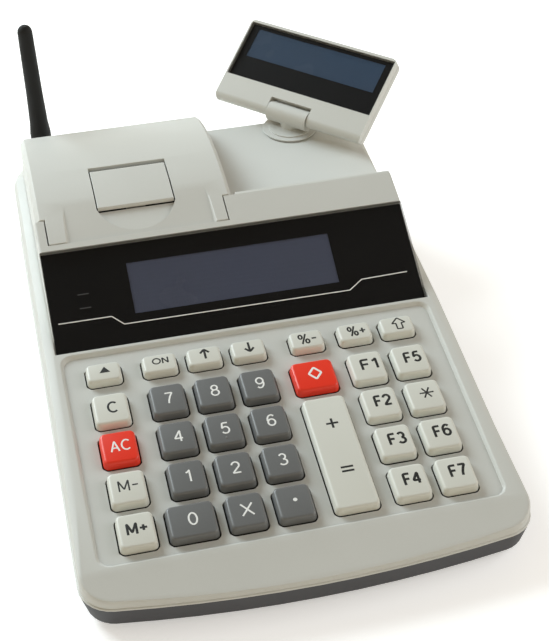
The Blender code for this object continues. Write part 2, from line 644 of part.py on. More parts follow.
def half_outline(front_y, back_y, front_half, back_half, bow, front_corner, back_corner, stations):
    """Right half of a case outline, from the front's middle to the back's, as (x, y, nx, ny)."""
    slope = math.atan2(2 * bow, front_half - front_corner)
    end_x = front_half - front_corner + front_corner * math.sin(slope)
    points = []
    for step in range(BOW_STEPS):
        x = end_x * step / BOW_STEPS
        lean = math.atan2(2 * bow * x, end_x * end_x)
        points.append((x, front_y + bow * (x / end_x) ** 2, math.sin(lean), -math.cos(lean)))
    centre_y = front_y + bow + front_corner * math.cos(slope)
    for step in range(CASE_CORNER_STEPS + 1):
        angle = -math.pi / 2 + slope + (math.pi / 2 - slope) * step / CASE_CORNER_STEPS
        normal = (math.cos(angle), math.sin(angle))
        centre_x = front_half - front_corner
        points.append((centre_x + front_corner * normal[0], centre_y + front_corner * normal[1], *normal))
    back_start = back_y - back_corner
    for y in stations:
        x = front_half + (back_half - front_half) * (y - centre_y) / (back_start - centre_y)
        points.append((x, y, 1.0, 0.0))
    for step in range(CASE_CORNER_STEPS + 1):
        angle = math.pi / 2 * step / CASE_CORNER_STEPS
        normal = (math.cos(angle), math.sin(angle))
        centre_x = back_half - back_corner
        points.append((centre_x + back_corner * normal[0], back_start + back_corner * normal[1], *normal))
    return points


def add_topped_form(bm, half, inset, bottom_z, height, fillet, fillet_steps=2):
    """A closed form over a half outline, mirrored, with a top that follows height(y).

    The outline is drawn in by `inset`, and its top edge is rounded by fillet(y).
    """
    def ring(level):
        loop = []
        for x, y, nx, ny in half:
            draw_in, z = level(x - nx * inset, y - ny * inset)
            loop.append((x - nx * (inset + draw_in), y - ny * (inset + draw_in), z))
        return loop

    levels = [lambda x, y: (0.0, bottom_z)]
    for step in range(fillet_steps + 1):
        angle = math.pi / 2 * step / fillet_steps
        levels.append(lambda x, y, a=angle: (fillet(y) * (1 - math.cos(a)),
                                             height(y) - fillet(y) * (1 - math.sin(a))))
    rings = []
    for level in levels:
        loop = ring(level)
        right = [bm.verts.new(point) for point in loop]
        left = [bm.verts.new((-x, y, z)) for x, y, z in loop[1:]]
        rings.append((right, [right[0]] + left))
    for (low_right, low_left), (high_right, high_left) in zip(rings, rings[1:]):
        for index in range(len(low_right) - 1):
            after = index + 1
            bm.faces.new((low_right[index], low_right[after], high_right[after], high_right[index]))
            bm.faces.new((low_left[after], low_left[index], high_left[index], high_left[after]))
        bm.faces.new((low_right[-1], low_left[-1], high_left[-1], high_right[-1]))
    for right, left in (rings[0], rings[-1]):
        bm.faces.new((right[0], right[1], left[1]))
        for index in range(1, len(right) - 1):
            bm.faces.new((right[index], right[index + 1], left[index + 1], left[index]))


# Outlines and heights of the upper case

CASE_STATIONS = (FRONT_FILLET_Y, APRON_Y, SIDE_FILLET_Y, TRAY_Y, WINDOW_Y, RIDGE_Y)

RIM_LINE = [
    (CASE_FRONT_Y, FRONT_LIP_Z),
    (APRON_Y, tray_plane_z(APRON_Y) + TRAY_RIM),
    (WINDOW_Y, tray_plane_z(WINDOW_Y) + TRAY_RIM),
    (CASE_BACK_Y, CHEEK_BACK_Z),
]
FLOOR_LINE = [
    (CASE_FRONT_Y, FRONT_LIP_Z - CASE_WALL),
    (APRON_Y, tray_plane_z(APRON_Y) - CASE_WALL),
    (WINDOW_Y, tray_plane_z(WINDOW_Y) - CASE_WALL),
    (CASE_BACK_Y, CHEEK_BACK_Z - CASE_WALL),
]
BLOCK_LINE = [
    (WINDOW_Y, WINDOW_Z),
    (STRIP_Y, STRIP_Z),
    (RIDGE_Y, RIDGE_Z),
    (RIDGE_Y + RIDGE_FLAT, RIDGE_Z),
    (RIDGE_FOOT_Y, DECK_Z),
    (DECK_BACK_Y, DECK_Z),
]
SEAT_DEPTH = WINDOW_THICKNESS + CLEAR
BLOCK_INNER_LINE = [
    window_point(0.0, -SEAT_DEPTH - CASE_WALL),
    window_point(WINDOW_LENGTH, -SEAT_DEPTH - CASE_WALL),
    (RIDGE_Y, RIDGE_Z - CASE_WALL),
    (RIDGE_FOOT_Y - CASE_WALL, DECK_Z - CASE_WALL),
    (DECK_BACK_Y, DECK_Z - CASE_WALL),
]


def case_half():
    return half_outline(CASE_FRONT_Y, CASE_BACK_Y, CASE_FRONT_HALF_WIDTH, CASE_BACK_HALF_WIDTH,
                        CASE_FRONT_BOW, CASE_FRONT_CORNER, CASE_BACK_CORNER, CASE_STATIONS[2:])


def case_fillet(y):
    return line_height([(FRONT_FILLET_Y, FRONT_FILLET), (SIDE_FILLET_Y, SIDE_FILLET)], y)


def block_half(line, drawn_in):
    """Right half of the raised block's outline, with a station at each bend of its top."""
    half = BLOCK_HALF_WIDTH - drawn_in
    back = DECK_BACK_Y - drawn_in
    corner = BLOCK_CORNER - drawn_in
    points = [(0.0, line[0][0] - BLOCK_TOE, 0.0, 0.0)]
    for y, _ in line[:-1]:
        points.append((half, y, 1.0, 0.0))
    for step in range(CORNER_STEPS + 1):
        angle = math.pi / 2 * step / CORNER_STEPS
        normal = (math.cos(angle), math.sin(angle))
        points.append((half - corner + corner * normal[0], back - corner + corner * normal[1], *normal))
    return points


def key_layout():
    """Name, finish, centre and size of each key, in the tray's own plane."""
    digit = [DIGIT_COLUMN_X + column * KEY_COLUMN_PITCH for column in range(3)]
    rows = [FIRST_ROW_Y - row * KEY_ROW_PITCH for row in range(4)]
    small = (KEY_WIDTH, SMALL_KEY_DEPTH)
    plain = (KEY_WIDTH, KEY_DEPTH)
    keys = [
        ("key_feed", "light_key", (LEFT_COLUMN_X, SMALL_ROW_Y), small),
        ("key_on", "light_key", (digit[0], SMALL_ROW_Y), small),
        ("key_up", "light_key", (digit[1], SMALL_ROW_Y), small),
        ("key_down", "light_key", (digit[2], SMALL_ROW_Y), small),
        ("key_discount", "light_key",
         (TOTAL_COLUMN_X + (TOTAL_KEY_WIDTH - KEY_WIDTH) / 2, SMALL_ROW_Y), small),
        ("key_surcharge", "light_key", (GROUP_COLUMN_X, SMALL_ROW_Y), small),
        ("key_shift", "light_key", (LAST_COLUMN_X, SMALL_ROW_Y), small),
    ]
    left_column = (("key_clear", "light_key"), ("key_all_clear", "red_key"),
                   ("key_void", "light_key"), ("key_recall", "light_key"))
    for row, (name, finish) in enumerate(left_column):
        keys.append((name, finish, (LEFT_COLUMN_X, rows[row]), plain))
    for row in range(3):
        for column in range(3):
            number = 7 - 3 * row + column
            keys.append((f"key_{number}", "dark_key", (digit[column], rows[row]), plain))
    zero_x = digit[0] - (ZERO_KEY_WIDTH - KEY_WIDTH) / 2
    keys.append(("key_0", "dark_key", (zero_x, rows[3]), (ZERO_KEY_WIDTH, KEY_DEPTH)))
    keys.append(("key_multiply", "dark_key", (digit[1], rows[3]), plain))
    keys.append(("key_point", "dark_key", (digit[2], rows[3]), plain))
    keys.append(("key_subtotal", "red_key", (TOTAL_COLUMN_X, rows[0]), (TOTAL_KEY_WIDTH, KEY_DEPTH)))
    total_depth = KEY_DEPTH + 2 * KEY_ROW_PITCH
    keys.append(("key_total", "light_key", (TOTAL_COLUMN_X, rows[2]), (TOTAL_KEY_WIDTH, total_depth)))
    for row in range(4):
        keys.append((f"key_group_{row + 1}", "light_key", (GROUP_COLUMN_X, rows[row]), plain))
    for row, name in enumerate(("key_group_5", "key_star", "key_group_6", "key_group_7")):
        keys.append((name, "light_key", (LAST_COLUMN_X, rows[row]), plain))
    return keys


def key_ring(width, depth, corner, z):
    half_w, half_d = width / 2, depth / 2
    outline = rounded_rectangle(-half_w, half_w, -half_d, half_d, corner, 2)
    return [(x, y, z) for x, y in outline]


def make_key(name, finish, centre, size, tray):
    """One cap with a draft, a rounded top edge, a flange under the tray and a stem."""
    width, depth = size
    axis = add_axis(name + "_axis", tray, (centre[0], centre[1], 0.0))
    flange_top = -CASE_WALL - CLEAR
    flange_low = flange_top - KEY_FLANGE_THICKNESS
    stem_low = flange_low - KEY_STEM_LENGTH
    top_w, top_d = width - 2 * KEY_DRAFT, depth - 2 * KEY_DRAFT
    stem_d = min(KEY_STEM_WIDTH, depth - 2 * KEY_DRAFT)
    loops = [
        key_ring(KEY_STEM_WIDTH, stem_d, KEY_EDGE, stem_low),
        key_ring(KEY_STEM_WIDTH, stem_d, KEY_EDGE, flange_low),
        key_ring(width + 2 * KEY_FLANGE, depth + 2 * KEY_FLANGE, KEY_CORNER, flange_low),
        key_ring(width + 2 * KEY_FLANGE, depth + 2 * KEY_FLANGE, KEY_CORNER, flange_top),
        key_ring(width, depth, KEY_CORNER, flange_top),
        key_ring(width, depth, KEY_CORNER, 0.0),
        key_ring(top_w, top_d, KEY_CORNER, KEY_HEIGHT - KEY_EDGE),
        key_ring(top_w - KEY_EDGE, top_d - KEY_EDGE, KEY_CORNER, KEY_HEIGHT - KEY_EDGE / 4),
        key_ring(top_w - 2 * KEY_EDGE, top_d - 2 * KEY_EDGE, KEY_CORNER - KEY_EDGE / 2, KEY_HEIGHT),
    ]
    bm = bmesh.new()
    add_loft(bm, loops)
    return add_piece(name, bm, finish, axis)


def tray_recess():
    """The dished floor between the low rims, widening upwards."""
    bm = bmesh.new()
    loops = []
    for spread, z in ((0.0, 0.0), (TRAY_DRAFT, TRAY_RIM), (TRAY_DRAFT, TRAY_RIM + OVERRUN * 2)):
        outline = rounded_rectangle(-TRAY_HALF_WIDTH - spread, TRAY_HALF_WIDTH + spread,
                                    TRAY_FRONT - spread, TRAY_BACK + spread, TRAY_CORNER)
        loops.append([(x, y, z) for x, y in outline])
    add_loft(bm, loops)
    return bm


def key_holes():
    bm = bmesh.new()
    for _, _, (x, y), (width, depth) in key_layout():
        outline = rounded_rectangle(x - width / 2 - KEY_HOLE_GAP, x + width / 2 + KEY_HOLE_GAP,
                                    y - depth / 2 - KEY_HOLE_GAP, y + depth / 2 + KEY_HOLE_GAP,
                                    KEY_CORNER, 1)
        add_prism(bm, outline, "Z", -CASE_WALL - OVERRUN, OVERRUN)
    return bm


def board_posts(radius, top, bottom):
    """Four round posts between the tray floor and the main board."""
    bm = bmesh.new()
    for x in (-BOARD_POST_X, BOARD_POST_X):
        for y in (MAT_FRONT + BOARD_POST_MARGIN, MAT_BACK - BOARD_POST_MARGIN):
            add_turning(bm, [(radius, bottom), (radius, top)], "Z", x, y, SMALL_SEGMENTS)
    return bm


MAT_TOP = -CASE_WALL - CLEAR - KEY_FLANGE_THICKNESS - KEY_STEM_LENGTH - KEY_TRAVEL - CLEAR
BOARD_TOP = MAT_TOP - MAT_THICKNESS - CLEAR


def screw_places():
    rows = ((SCREW_FRONT_X, SCREW_FRONT_Y), (SCREW_BACK_X, SCREW_BACK_Y))
    return [(side * x, y) for x, y in rows for side in (-1, 1)]


def case_top_at(y):
    if y > RIDGE_FOOT_Y:
        return DECK_Z - CASE_WALL
    return line_height(FLOOR_LINE, y)


def screw_bosses(radius, low, high):
    """Round posts at the screws; high is a height or a function of the place along the case."""
    bm = bmesh.new()
    for x, y in screw_places():
        top = high(y) if callable(high) else high
        add_turning(bm, [(radius, low), (radius, top)], "Z", x, y, SMALL_SEGMENTS)
    return bm


def socket_places():
    return [REAR_BOARD_X + REAR_BOARD_HALF * share for share in SOCKET_OFFSETS_SHARE]


def case_knuckles():
    """Centres of the two hinge knuckles that stand on the case, beside the lid's."""
    reach = LID_KNUCKLE_HALF + 2 * CLEAR + CASE_KNUCKLE_WIDTH / 2
    return [PAPER_X - reach, PAPER_X + reach]


def knuckle_outline(low_z):
    """Side view of a hinge knuckle with a web down to low_z on the case's back face."""
    arc = arc_points((HINGE_Y, HINGE_Z), HINGE_RADIUS, -math.pi / 4, math.pi, SMALL_SEGMENTS // 2)
    inside_y = DECK_BACK_Y - CASE_WALL / 2
    return [(inside_y, low_z - HINGE_RADIUS)] + arc + [(inside_y, HINGE_Z - HINGE_RADIUS / 2)]


def make_upper_case(root, tray, window):
    bm = bmesh.new()
    add_topped_form(bm, case_half(), FLANGE_STEP, PARTING_Z, lambda y: line_height(RIM_LINE, y), case_fillet)
    case = add_piece("upper_case", bm, "shell", root)
    bm = bmesh.new()
    add_case_rings(bm, [(0.0, PARTING_Z), (0.0, PARTING_Z + FLANGE_HEIGHT)])
    join(case, "case_flange", bm, root)

    bm = bmesh.new()
    add_topped_form(bm, block_half(BLOCK_LINE, 0.0), 0.0, BLOCK_FOOT_Z,
                    lambda y: line_height(BLOCK_LINE, y), lambda y: BLOCK_FILLET)
    join(case, "block_form", bm, root)

    bm = bmesh.new()
    add_topped_form(bm, case_half(), CASE_WALL, PARTING_Z - OVERRUN,
                    lambda y: line_height(FLOOR_LINE, y), lambda y: FRONT_FILLET)
    cut(case, "case_hollow", bm, root)

    bm = bmesh.new()
    add_topped_form(bm, block_half(BLOCK_INNER_LINE, CASE_WALL), 0.0, BLOCK_FOOT_Z - OVERRUN,
                    lambda y: line_height(BLOCK_INNER_LINE, y), lambda y: FRONT_FILLET)
    cut(case, "block_hollow", bm, root)

    cut(case, "tray_recess", tray_recess(), tray)
    cut(case, "key_holes", key_holes(), tray)
    cut(case, "window_seat",
        box(-BLOCK_HALF_WIDTH - CLEAR, BLOCK_HALF_WIDTH + CLEAR, -CLEAR, WINDOW_LENGTH + CLEAR,
            -SEAT_DEPTH, OVERRUN), window)
    cut(case, "lcd_opening",
        box(-LCD_HALF_WIDTH - CLEAR, LCD_HALF_WIDTH + CLEAR, LCD_LOW - CLEAR, LCD_HIGH + CLEAR,
            -SEAT_DEPTH - CASE_WALL - OVERRUN, 0.0), window)

    wall = CASE_WALL / 2
    front, low = LID_STEP_Y - LID_GAP - CASE_WALL, DECK_Z - CASE_WALL + CLEAR
    ridge = [(front, low), (front, line_height(BLOCK_LINE, front) - wall), (RIDGE_Y, RIDGE_Z - wall),
             (RIDGE_Y + RIDGE_FLAT - wall, RIDGE_Z - wall), (RIDGE_FOOT_Y - wall, DECK_Z - wall),
             (RIDGE_FOOT_Y - wall, low)]
    join(case, "ridge_end", prism(ridge, "X", TONGUE_RIGHT_X + LID_GAP,
                                  LID_RIGHT_X + LID_FLARE + 2 * CLEAR + CASE_WALL), root)
    lid_zone_z = LID_SKIRT_Z - 2 * CLEAR
    cut(case, "lid_zone",
        box(-BLOCK_HALF_WIDTH - OVERRUN, LID_RIGHT_X + LID_FLARE + 2 * CLEAR, LID_STEP_Y - LID_GAP,
            LID_BACK_Y + OVERRUN, lid_zone_z, LID_TOP_Z), root)
    bay = [
        (TONGUE_LEFT_X - LID_GAP, LID_FRONT_Y - CLEAR),
        (TONGUE_RIGHT_X + LID_GAP, LID_FRONT_Y - CLEAR),
        (TONGUE_RIGHT_X + LID_GAP, LID_STEP_Y + OVERRUN),
        (PAPER_X + BAY_HALF_WIDTH, LID_STEP_Y + OVERRUN),
        (PAPER_X + BAY_HALF_WIDTH, BAY_BACK_Y),
        (PAPER_X - BAY_HALF_WIDTH, BAY_BACK_Y),
        (PAPER_X - BAY_HALF_WIDTH, LID_STEP_Y + OVERRUN),
        (TONGUE_LEFT_X - LID_GAP, LID_STEP_Y + OVERRUN),
    ]
    cut(case, "bay_opening", prism(bay, "Z", BLOCK_FOOT_Z, LID_TOP_Z), root)

    bm = bmesh.new()
    for x in socket_places():
        half = SOCKET_WIDTH / 2 + CLEAR
        add_box(bm, x - half, x + half, CASE_BACK_Y - CASE_BACK_CORNER, CASE_BACK_Y + OVERRUN,
                REAR_BOARD_Z, REAR_BOARD_Z + BOARD_THICKNESS + SOCKET_HEIGHT + CLEAR)
    add_turning(bm, [(INLET_RADIUS + CLEAR, DECK_BACK_Y - OVERRUN), (INLET_RADIUS + CLEAR, CASE_BACK_Y + OVERRUN)],
                "Y", REAR_BOARD_X + REAR_BOARD_HALF * INLET_OFFSET_SHARE,
                REAR_BOARD_Z + BOARD_THICKNESS + INLET_HEIGHT)
    add_turning(bm, [(ANTENNA_STEM_RADIUS + CLEAR, DECK_BACK_Y - OVERRUN),
                     (ANTENNA_STEM_RADIUS + CLEAR, CASE_BACK_Y + OVERRUN)], "Y", ANTENNA_X, ANTENNA_Z)
    cut(case, "rear_holes", bm, root)
    cut(case, "neck_hole", rod(NECK_HOLE_RADIUS, DECK_Z - CASE_WALL - OVERRUN, DECK_Z + OVERRUN, "Z",
                               NECK_X, NECK_Y, ROUND_SEGMENTS), root)

    join(case, "board_posts", board_posts(BOARD_POST_RADIUS, -CASE_WALL / 2, BOARD_TOP + CLEAR), tray)
    join(case, "case_bosses", screw_bosses(SCREW_BOSS_RADIUS, PARTING_Z,
                                           lambda y: case_top_at(y) + CASE_WALL / 2), root)
    cut(case, "case_boss_bores", screw_bosses(SCREW_HOLE_RADIUS, PARTING_Z - OVERRUN,
                                              lambda y: PARTING_Z + SCREW_BOSS_RADIUS), root)
    for side, x in zip(("left", "right"), case_knuckles()):
        join(case, side + "_knuckle", prism(knuckle_outline(CHEEK_BACK_Z), "X", x - CASE_KNUCKLE_WIDTH / 2,
                                            x + CASE_KNUCKLE_WIDTH / 2), root)
    reach = LID_KNUCKLE_HALF + CASE_KNUCKLE_WIDTH + OVERRUN
    cut(case, "hinge_bore", rod(HINGE_PIN_RADIUS + CLEAR, PAPER_X - reach, PAPER_X + reach, "X",
                                HINGE_Y, HINGE_Z), root)
    return case


def add_case_rings(bm, levels):
    """Rings of the whole case outline, each drawn in by its own amount, skinned and closed."""
    half = case_half()
    loops = []
    for inset, z in levels:
        right = [(x - nx * inset, y - ny * inset, z) for x, y, nx, ny in half]
        left = [(-x, y, z) for x, y, z in reversed(right[1:])]
        loops.append(right + left)
    add_loft(bm, loops)


def make_lower_case(root):
    """The dark base tray: sloping sides, a flat floor, screw wells and an inner lip."""
    bm = bmesh.new()
    add_case_rings(bm, [(BASE_INSET + BASE_CHAMFER, BASE_BOTTOM_Z), (BASE_INSET, BASE_BOTTOM_Z + BASE_CHAMFER),
                        (0.0, PARTING_Z - SEAM_GAP)])
    case = add_piece("lower_case", bm, "base", root)
    bm = bmesh.new()
    add_case_rings(bm, [(BASE_INSET + CASE_WALL, BASE_BOTTOM_Z + CASE_WALL), (CASE_WALL, PARTING_Z + OVERRUN)])
    cut(case, "base_hollow", bm, root)
    bosses_top = PARTING_Z - CLEAR
    join(case, "base_bosses", screw_bosses(SCREW_BOSS_RADIUS, BASE_BOTTOM_Z + CASE_WALL / 2, bosses_top), root)
    cut(case, "base_boss_bores", screw_bosses(SCREW_HOLE_RADIUS, 0.0, PARTING_Z + OVERRUN), root)
    cut(case, "screw_wells", screw_bosses(SCREW_HEAD_RADIUS, 0.0, BASE_BOTTOM_Z + SCREW_HEAD_DEPTH), root)
    bm = bmesh.new()
    for x, y in foot_places():
        add_turning(bm, [(FOOT_STUD_RADIUS + CLEAR, 0.0), (FOOT_STUD_RADIUS + CLEAR, BASE_BOTTOM_Z + CASE_WALL * 2)],
                    "Z", x, y, SMALL_SEGMENTS)
    cut(case, "foot_holes", bm, root)
    return case


def foot_places():
    return [(x, y) for y in (FOOT_FRONT_Y, FOOT_BACK_Y) for x in (-FOOT_X, FOOT_X)]


def make_feet(root):
    names = ("foot_front_left", "foot_front_right", "foot_back_left", "foot_back_right")
    for name, (x, y) in zip(names, foot_places()):
        top = BASE_BOTTOM_Z - CLEAR
        stud_top = BASE_BOTTOM_Z + CASE_WALL
        profile = [(FOOT_RADIUS - FOOT_RIM, 0.0), (FOOT_RADIUS, FOOT_RIM), (FOOT_RADIUS, top),
                   (FOOT_STUD_RADIUS, top), (FOOT_STUD_RADIUS, stud_top)]
        axis = add_axis(name + "_axis", root, (x, y, 0.0))
        add_piece(name, turning(profile, "Z", segments=SMALL_SEGMENTS), "rubber", axis)


def make_key_mat(tray):
    """Silicone sheet with a dome under each key's stem."""
    bm = box(-MAT_HALF_WIDTH, MAT_HALF_WIDTH, MAT_FRONT, MAT_BACK, MAT_TOP - MAT_THICKNESS, MAT_TOP)
    mat = add_piece("key_mat", bm, "silicone", tray)
    bm = bmesh.new()
    dome_top = MAT_TOP + KEY_TRAVEL
    for _, _, (x, y), _ in key_layout():
        add_turning(bm, [(MAT_DOME_RADIUS, MAT_TOP - MAT_THICKNESS / 2), (MAT_DOME_RADIUS, MAT_TOP + CLEAR),
                         (MAT_DOME_TOP_RADIUS, dome_top)], "Z", x, y, DOME_SEGMENTS)
    join(mat, "mat_domes", bm, tray)
    return mat


def make_main_board(tray):
    """Board under the mat, with its processor and the plugs for the display and printer."""
    low = BOARD_TOP - BOARD_THICKNESS
    half = BOARD_HALF_WIDTH
    board = add_piece("main_board", box(-half, half, MAT_FRONT, MAT_BACK, low, BOARD_TOP), "board", tray)
    bm = bmesh.new()
    add_box(bm, -CHIP_SIZE / 2, CHIP_SIZE / 2, -CHIP_SIZE / 2, CHIP_SIZE / 2, low - CHIP_THICKNESS,
            low + BOARD_THICKNESS / 2)
    for x in (-MAT_HALF_WIDTH / 2, MAT_HALF_WIDTH / 2):
        add_box(bm, x - BOARD_PLUG_WIDTH / 2, x + BOARD_PLUG_WIDTH / 2, MAT_BACK - BOARD_PLUG_DEPTH * 2,
                MAT_BACK - BOARD_PLUG_DEPTH, low - BOARD_PLUG_HEIGHT, low + BOARD_THICKNESS / 2)
    join(board, "board_parts", bm, tray)
    return board


def make_window(window):
    plate = box(-BLOCK_HALF_WIDTH, BLOCK_HALF_WIDTH, 0.0, WINDOW_LENGTH, -WINDOW_THICKNESS, 0.0)
    add_piece("display_window", plate, "smoked", window)
    seat_low = -SEAT_DEPTH - CASE_WALL
    glass = box(-LCD_HALF_WIDTH, LCD_HALF_WIDTH, LCD_LOW, LCD_HIGH,
                seat_low - CLEAR - LCD_BOARD_THICKNESS, -SEAT_DEPTH)
    lcd = add_piece("operator_lcd", glass, "panel", window)
    join(lcd, "lcd_board",
         box(-LCD_HALF_WIDTH - LCD_BOARD_MARGIN, LCD_HALF_WIDTH + LCD_BOARD_MARGIN,
             LCD_LOW - LCD_BOARD_MARGIN, LCD_HIGH + LCD_BOARD_MARGIN / 2,
             seat_low - CLEAR - LCD_BOARD_THICKNESS, seat_low - CLEAR), window)


# Printer lid

def lid_dome():
    """The lid's outer top line, from its front edge to where its back turns down."""
    first = (LID_STEP_Y, LID_STEP_Z)
    middle = (LID_TOP_Y, LID_TOP_Z)
    last = (LID_BACK_TOP_Y, LID_BACK_TOP_Z)
    points = [(LID_FRONT_Y, LID_FRONT_Z)]
    for step in range(LID_DOME_STEPS + 1):
        y = first[0] + (last[0] - first[0]) * step / LID_DOME_STEPS
        z = 0.0
        for one, two, three in ((first, middle, last), (middle, first, last), (last, first, middle)):
            z += one[1] * (y - two[0]) * (y - three[0]) / ((one[0] - two[0]) * (one[0] - three[0]))
        points.append((y, z))
    points += arc_points((LID_BACK_Y - LID_ROUND, LID_BACK_TOP_Z - LID_ROUND),
                         LID_ROUND, LID_ROUND_START, 0.0, 2)
    return points


def lid_corner_inset(y, drawn_in):
    """How far the lid's round back corners draw its sides in at y."""
    radius = LID_CORNER - drawn_in
    past = max(0.0, y - (LID_BACK_Y - LID_CORNER))
    return radius - math.sqrt(max(0.0, radius * radius - past * past))


def lid_section(y, z, drawn_in, low_z):
    """Cross section of the lid at y: flared sides and rounded top edges, as (x, y, z)."""
    share = (z - low_z) / (LID_TOP_Z - LID_SKIRT_Z)
    inset = drawn_in + lid_corner_inset(y, drawn_in)
    left, right = LID_LEFT_X + inset, LID_RIGHT_X - inset
    flare = LID_FLARE * share
    edge, left_edge = LID_EDGE, LID_LEFT_EDGE
    return [
        (left, y, low_z), (right + flare, y, low_z), (right + flare * edge / (z - low_z), y, z - edge),
        (right - edge, y, z), (left + left_edge, y, z), (left + flare / 4, y, z - left_edge),
    ]


def lid_body(drawn_in, low_z, start_y, end_y):
    """Loft of the lid's wide part between two places along it."""
    line = lid_dome()
    stations = [y for y, _ in line if start_y < y < end_y]
    loops = []
    for y in [start_y] + stations + [end_y]:
        loops.append(lid_section(y, line_height(line, y) - drawn_in, drawn_in, low_z))
    bm = bmesh.new()
    add_loft(bm, loops)
    return bm


def lid_top_z(y):
    return line_height(lid_dome(), y)


def make_lid(root):
    """Lid with skirts at its sides and back, a narrow tongue in front and two hinge pins."""
    hinge = add_axis("lid_hinge", root, (0.0, HINGE_Y, HINGE_Z))
    inward = Matrix.Translation((0.0, -HINGE_Y, -HINGE_Z))
    bm = lid_body(0.0, LID_SKIRT_Z, LID_STEP_Y, LID_BACK_Y)
    bmesh.ops.transform(bm, matrix=inward, verts=bm.verts)
    lid = add_piece("printer_lid", bm, "shell", hinge)
    frame = add_axis("lid_frame", hinge, inward.translation)

    line = lid_dome()
    after = (SLOT_FRONT_Y + LID_WALL, lid_top_z(SLOT_FRONT_Y + LID_WALL) - LID_WALL / 4)
    outline = line[:2] + [after, (after[0], after[1] - TONGUE_THICKNESS),
                          (LID_FRONT_Y, LID_FRONT_Z - TONGUE_THICKNESS)]
    cut(lid, "lid_hollow", lid_body(LID_WALL, LID_SKIRT_Z - OVERRUN, LID_STEP_Y - OVERRUN,
                                    LID_BACK_Y - LID_WALL), frame)
    join(lid, "lid_tongue", prism(outline, "X", TONGUE_LEFT_X, TONGUE_RIGHT_X), frame)
    cut(lid, "paper_channel", paper_channel(), frame)
    cut(lid, "finger_lift", finger_lift(), frame)
    cut(lid, "latch_slot", box(PAPER_X - SLOT_HALF_WIDTH, PAPER_X + SLOT_HALF_WIDTH, SLOT_FRONT_Y,
                               SLOT_BACK_Y, LID_SKIRT_Z + OVERRUN, LID_TOP_Z + OVERRUN), frame)
    bm = bmesh.new()
    for x in case_knuckles():
        half = CASE_KNUCKLE_WIDTH / 2 + CLEAR
        add_box(bm, x - half, x + half, LID_BACK_Y - LID_WALL - OVERRUN, LID_BACK_Y + OVERRUN,
                LID_SKIRT_Z - OVERRUN, HINGE_Z + HINGE_RADIUS + 2 * CLEAR)
    cut(lid, "knuckle_notches", bm, frame)
    arc = arc_points((HINGE_Y, HINGE_Z), HINGE_RADIUS, HINGE_WEB_START, -math.pi, SMALL_SEGMENTS // 2)
    outline = arc + [(HINGE_Y - HINGE_RADIUS, HINGE_Z + HINGE_RADIUS * 2),
                     (LID_BACK_Y - LID_WALL / 4, HINGE_Z + HINGE_RADIUS * 2)]
    join(lid, "lid_knuckle", prism(outline, "X", PAPER_X - LID_KNUCKLE_HALF, PAPER_X + LID_KNUCKLE_HALF), frame)
    reach = LID_KNUCKLE_HALF + CASE_KNUCKLE_WIDTH
    join(lid, "hinge_pins", rod(HINGE_PIN_RADIUS, PAPER_X - reach, PAPER_X + reach, "X", HINGE_Y, HINGE_Z), frame)

    pivot_y, pivot_z = latch_pivot()
    bm = bmesh.new()
    for side in (-1, 1):
        x = PAPER_X + side * (SLOT_HALF_WIDTH + LATCH_EAR_WIDTH / 2)
        outline = arc_points((pivot_y, pivot_z), LATCH_HUB_RADIUS, -math.pi, 0.0, SMALL_SEGMENTS // 2)
        top = lid_top_z(pivot_y + LATCH_HUB_RADIUS) - LID_WALL / 2
        outline += [(pivot_y + LATCH_HUB_RADIUS, top), (pivot_y - LATCH_HUB_RADIUS, top)]
        add_prism(bm, outline, "X", x - LATCH_EAR_WIDTH / 2, x + LATCH_EAR_WIDTH / 2)
    join(lid, "latch_ears", bm, frame)
    reach = SLOT_HALF_WIDTH + LATCH_EAR_WIDTH + OVERRUN
    cut(lid, "latch_bore", rod(LATCH_PIN_RADIUS + CLEAR, PAPER_X - reach, PAPER_X + reach, "X",
                               pivot_y, pivot_z), frame)
    return frame


def channel_floor_z(y):
    """The channel's straight ramp, from its depth at the lid's front up to the lid's top line."""
    low, high = LID_FRONT_Z - CHANNEL_DEPTH, lid_top_z(CHANNEL_BACK_Y)
    return low + (high - low) * (y - LID_FRONT_Y) / (CHANNEL_BACK_Y - LID_FRONT_Y)


def paper_channel():
    """Ramp as wide as the paper, with sides that lean out and fade away towards the back."""
    bm = bmesh.new()
    half, top = PAPER_WIDTH / 2, LID_TOP_Z + OVERRUN
    loops = []
    for y in (LID_FRONT_Y - OVERRUN, CHANNEL_BACK_Y + OVERRUN):
        floor = channel_floor_z(y)
        wide = half + (top - floor) * CHANNEL_FLARE_SHARE
        loops.append([(PAPER_X - half, y, floor), (PAPER_X + half, y, floor),
                      (PAPER_X + wide, y, top), (PAPER_X - wide, y, top)])
    add_loft(bm, loops)
    return bm


def finger_lift():
    """Half-moon dish in front of the latch, with a flat floor that sinks towards the latch."""
    bm = bmesh.new()
    chord = math.acos((LIFT_RADIUS - LIFT_REACH) / LIFT_RADIUS)
    front_y = SLOT_FRONT_Y - LIFT_REACH
    arc = arc_points((PAPER_X, front_y + LIFT_RADIUS), LIFT_RADIUS, -math.pi / 2 - chord, -math.pi / 2 + chord,
                     LIFT_STEPS)
    outline = arc + [(arc[-1][0], SLOT_FRONT_Y + CLEAR), (arc[0][0], SLOT_FRONT_Y + CLEAR)]
    low = []
    for x, y in outline:
        low.append((x, y, channel_floor_z(y) - LIFT_DEPTH * (y - front_y) / LIFT_REACH))
    add_loft(bm, [low, [(x, y, LID_TOP_Z + OVERRUN) for x, y in outline]])
    return bm


def latch_pivot():
    y = SLOT_BACK_Y - LATCH_BACK_GAP - LATCH_HUB_RADIUS
    return y, lid_top_z(y) - LATCH_PIVOT_DROP


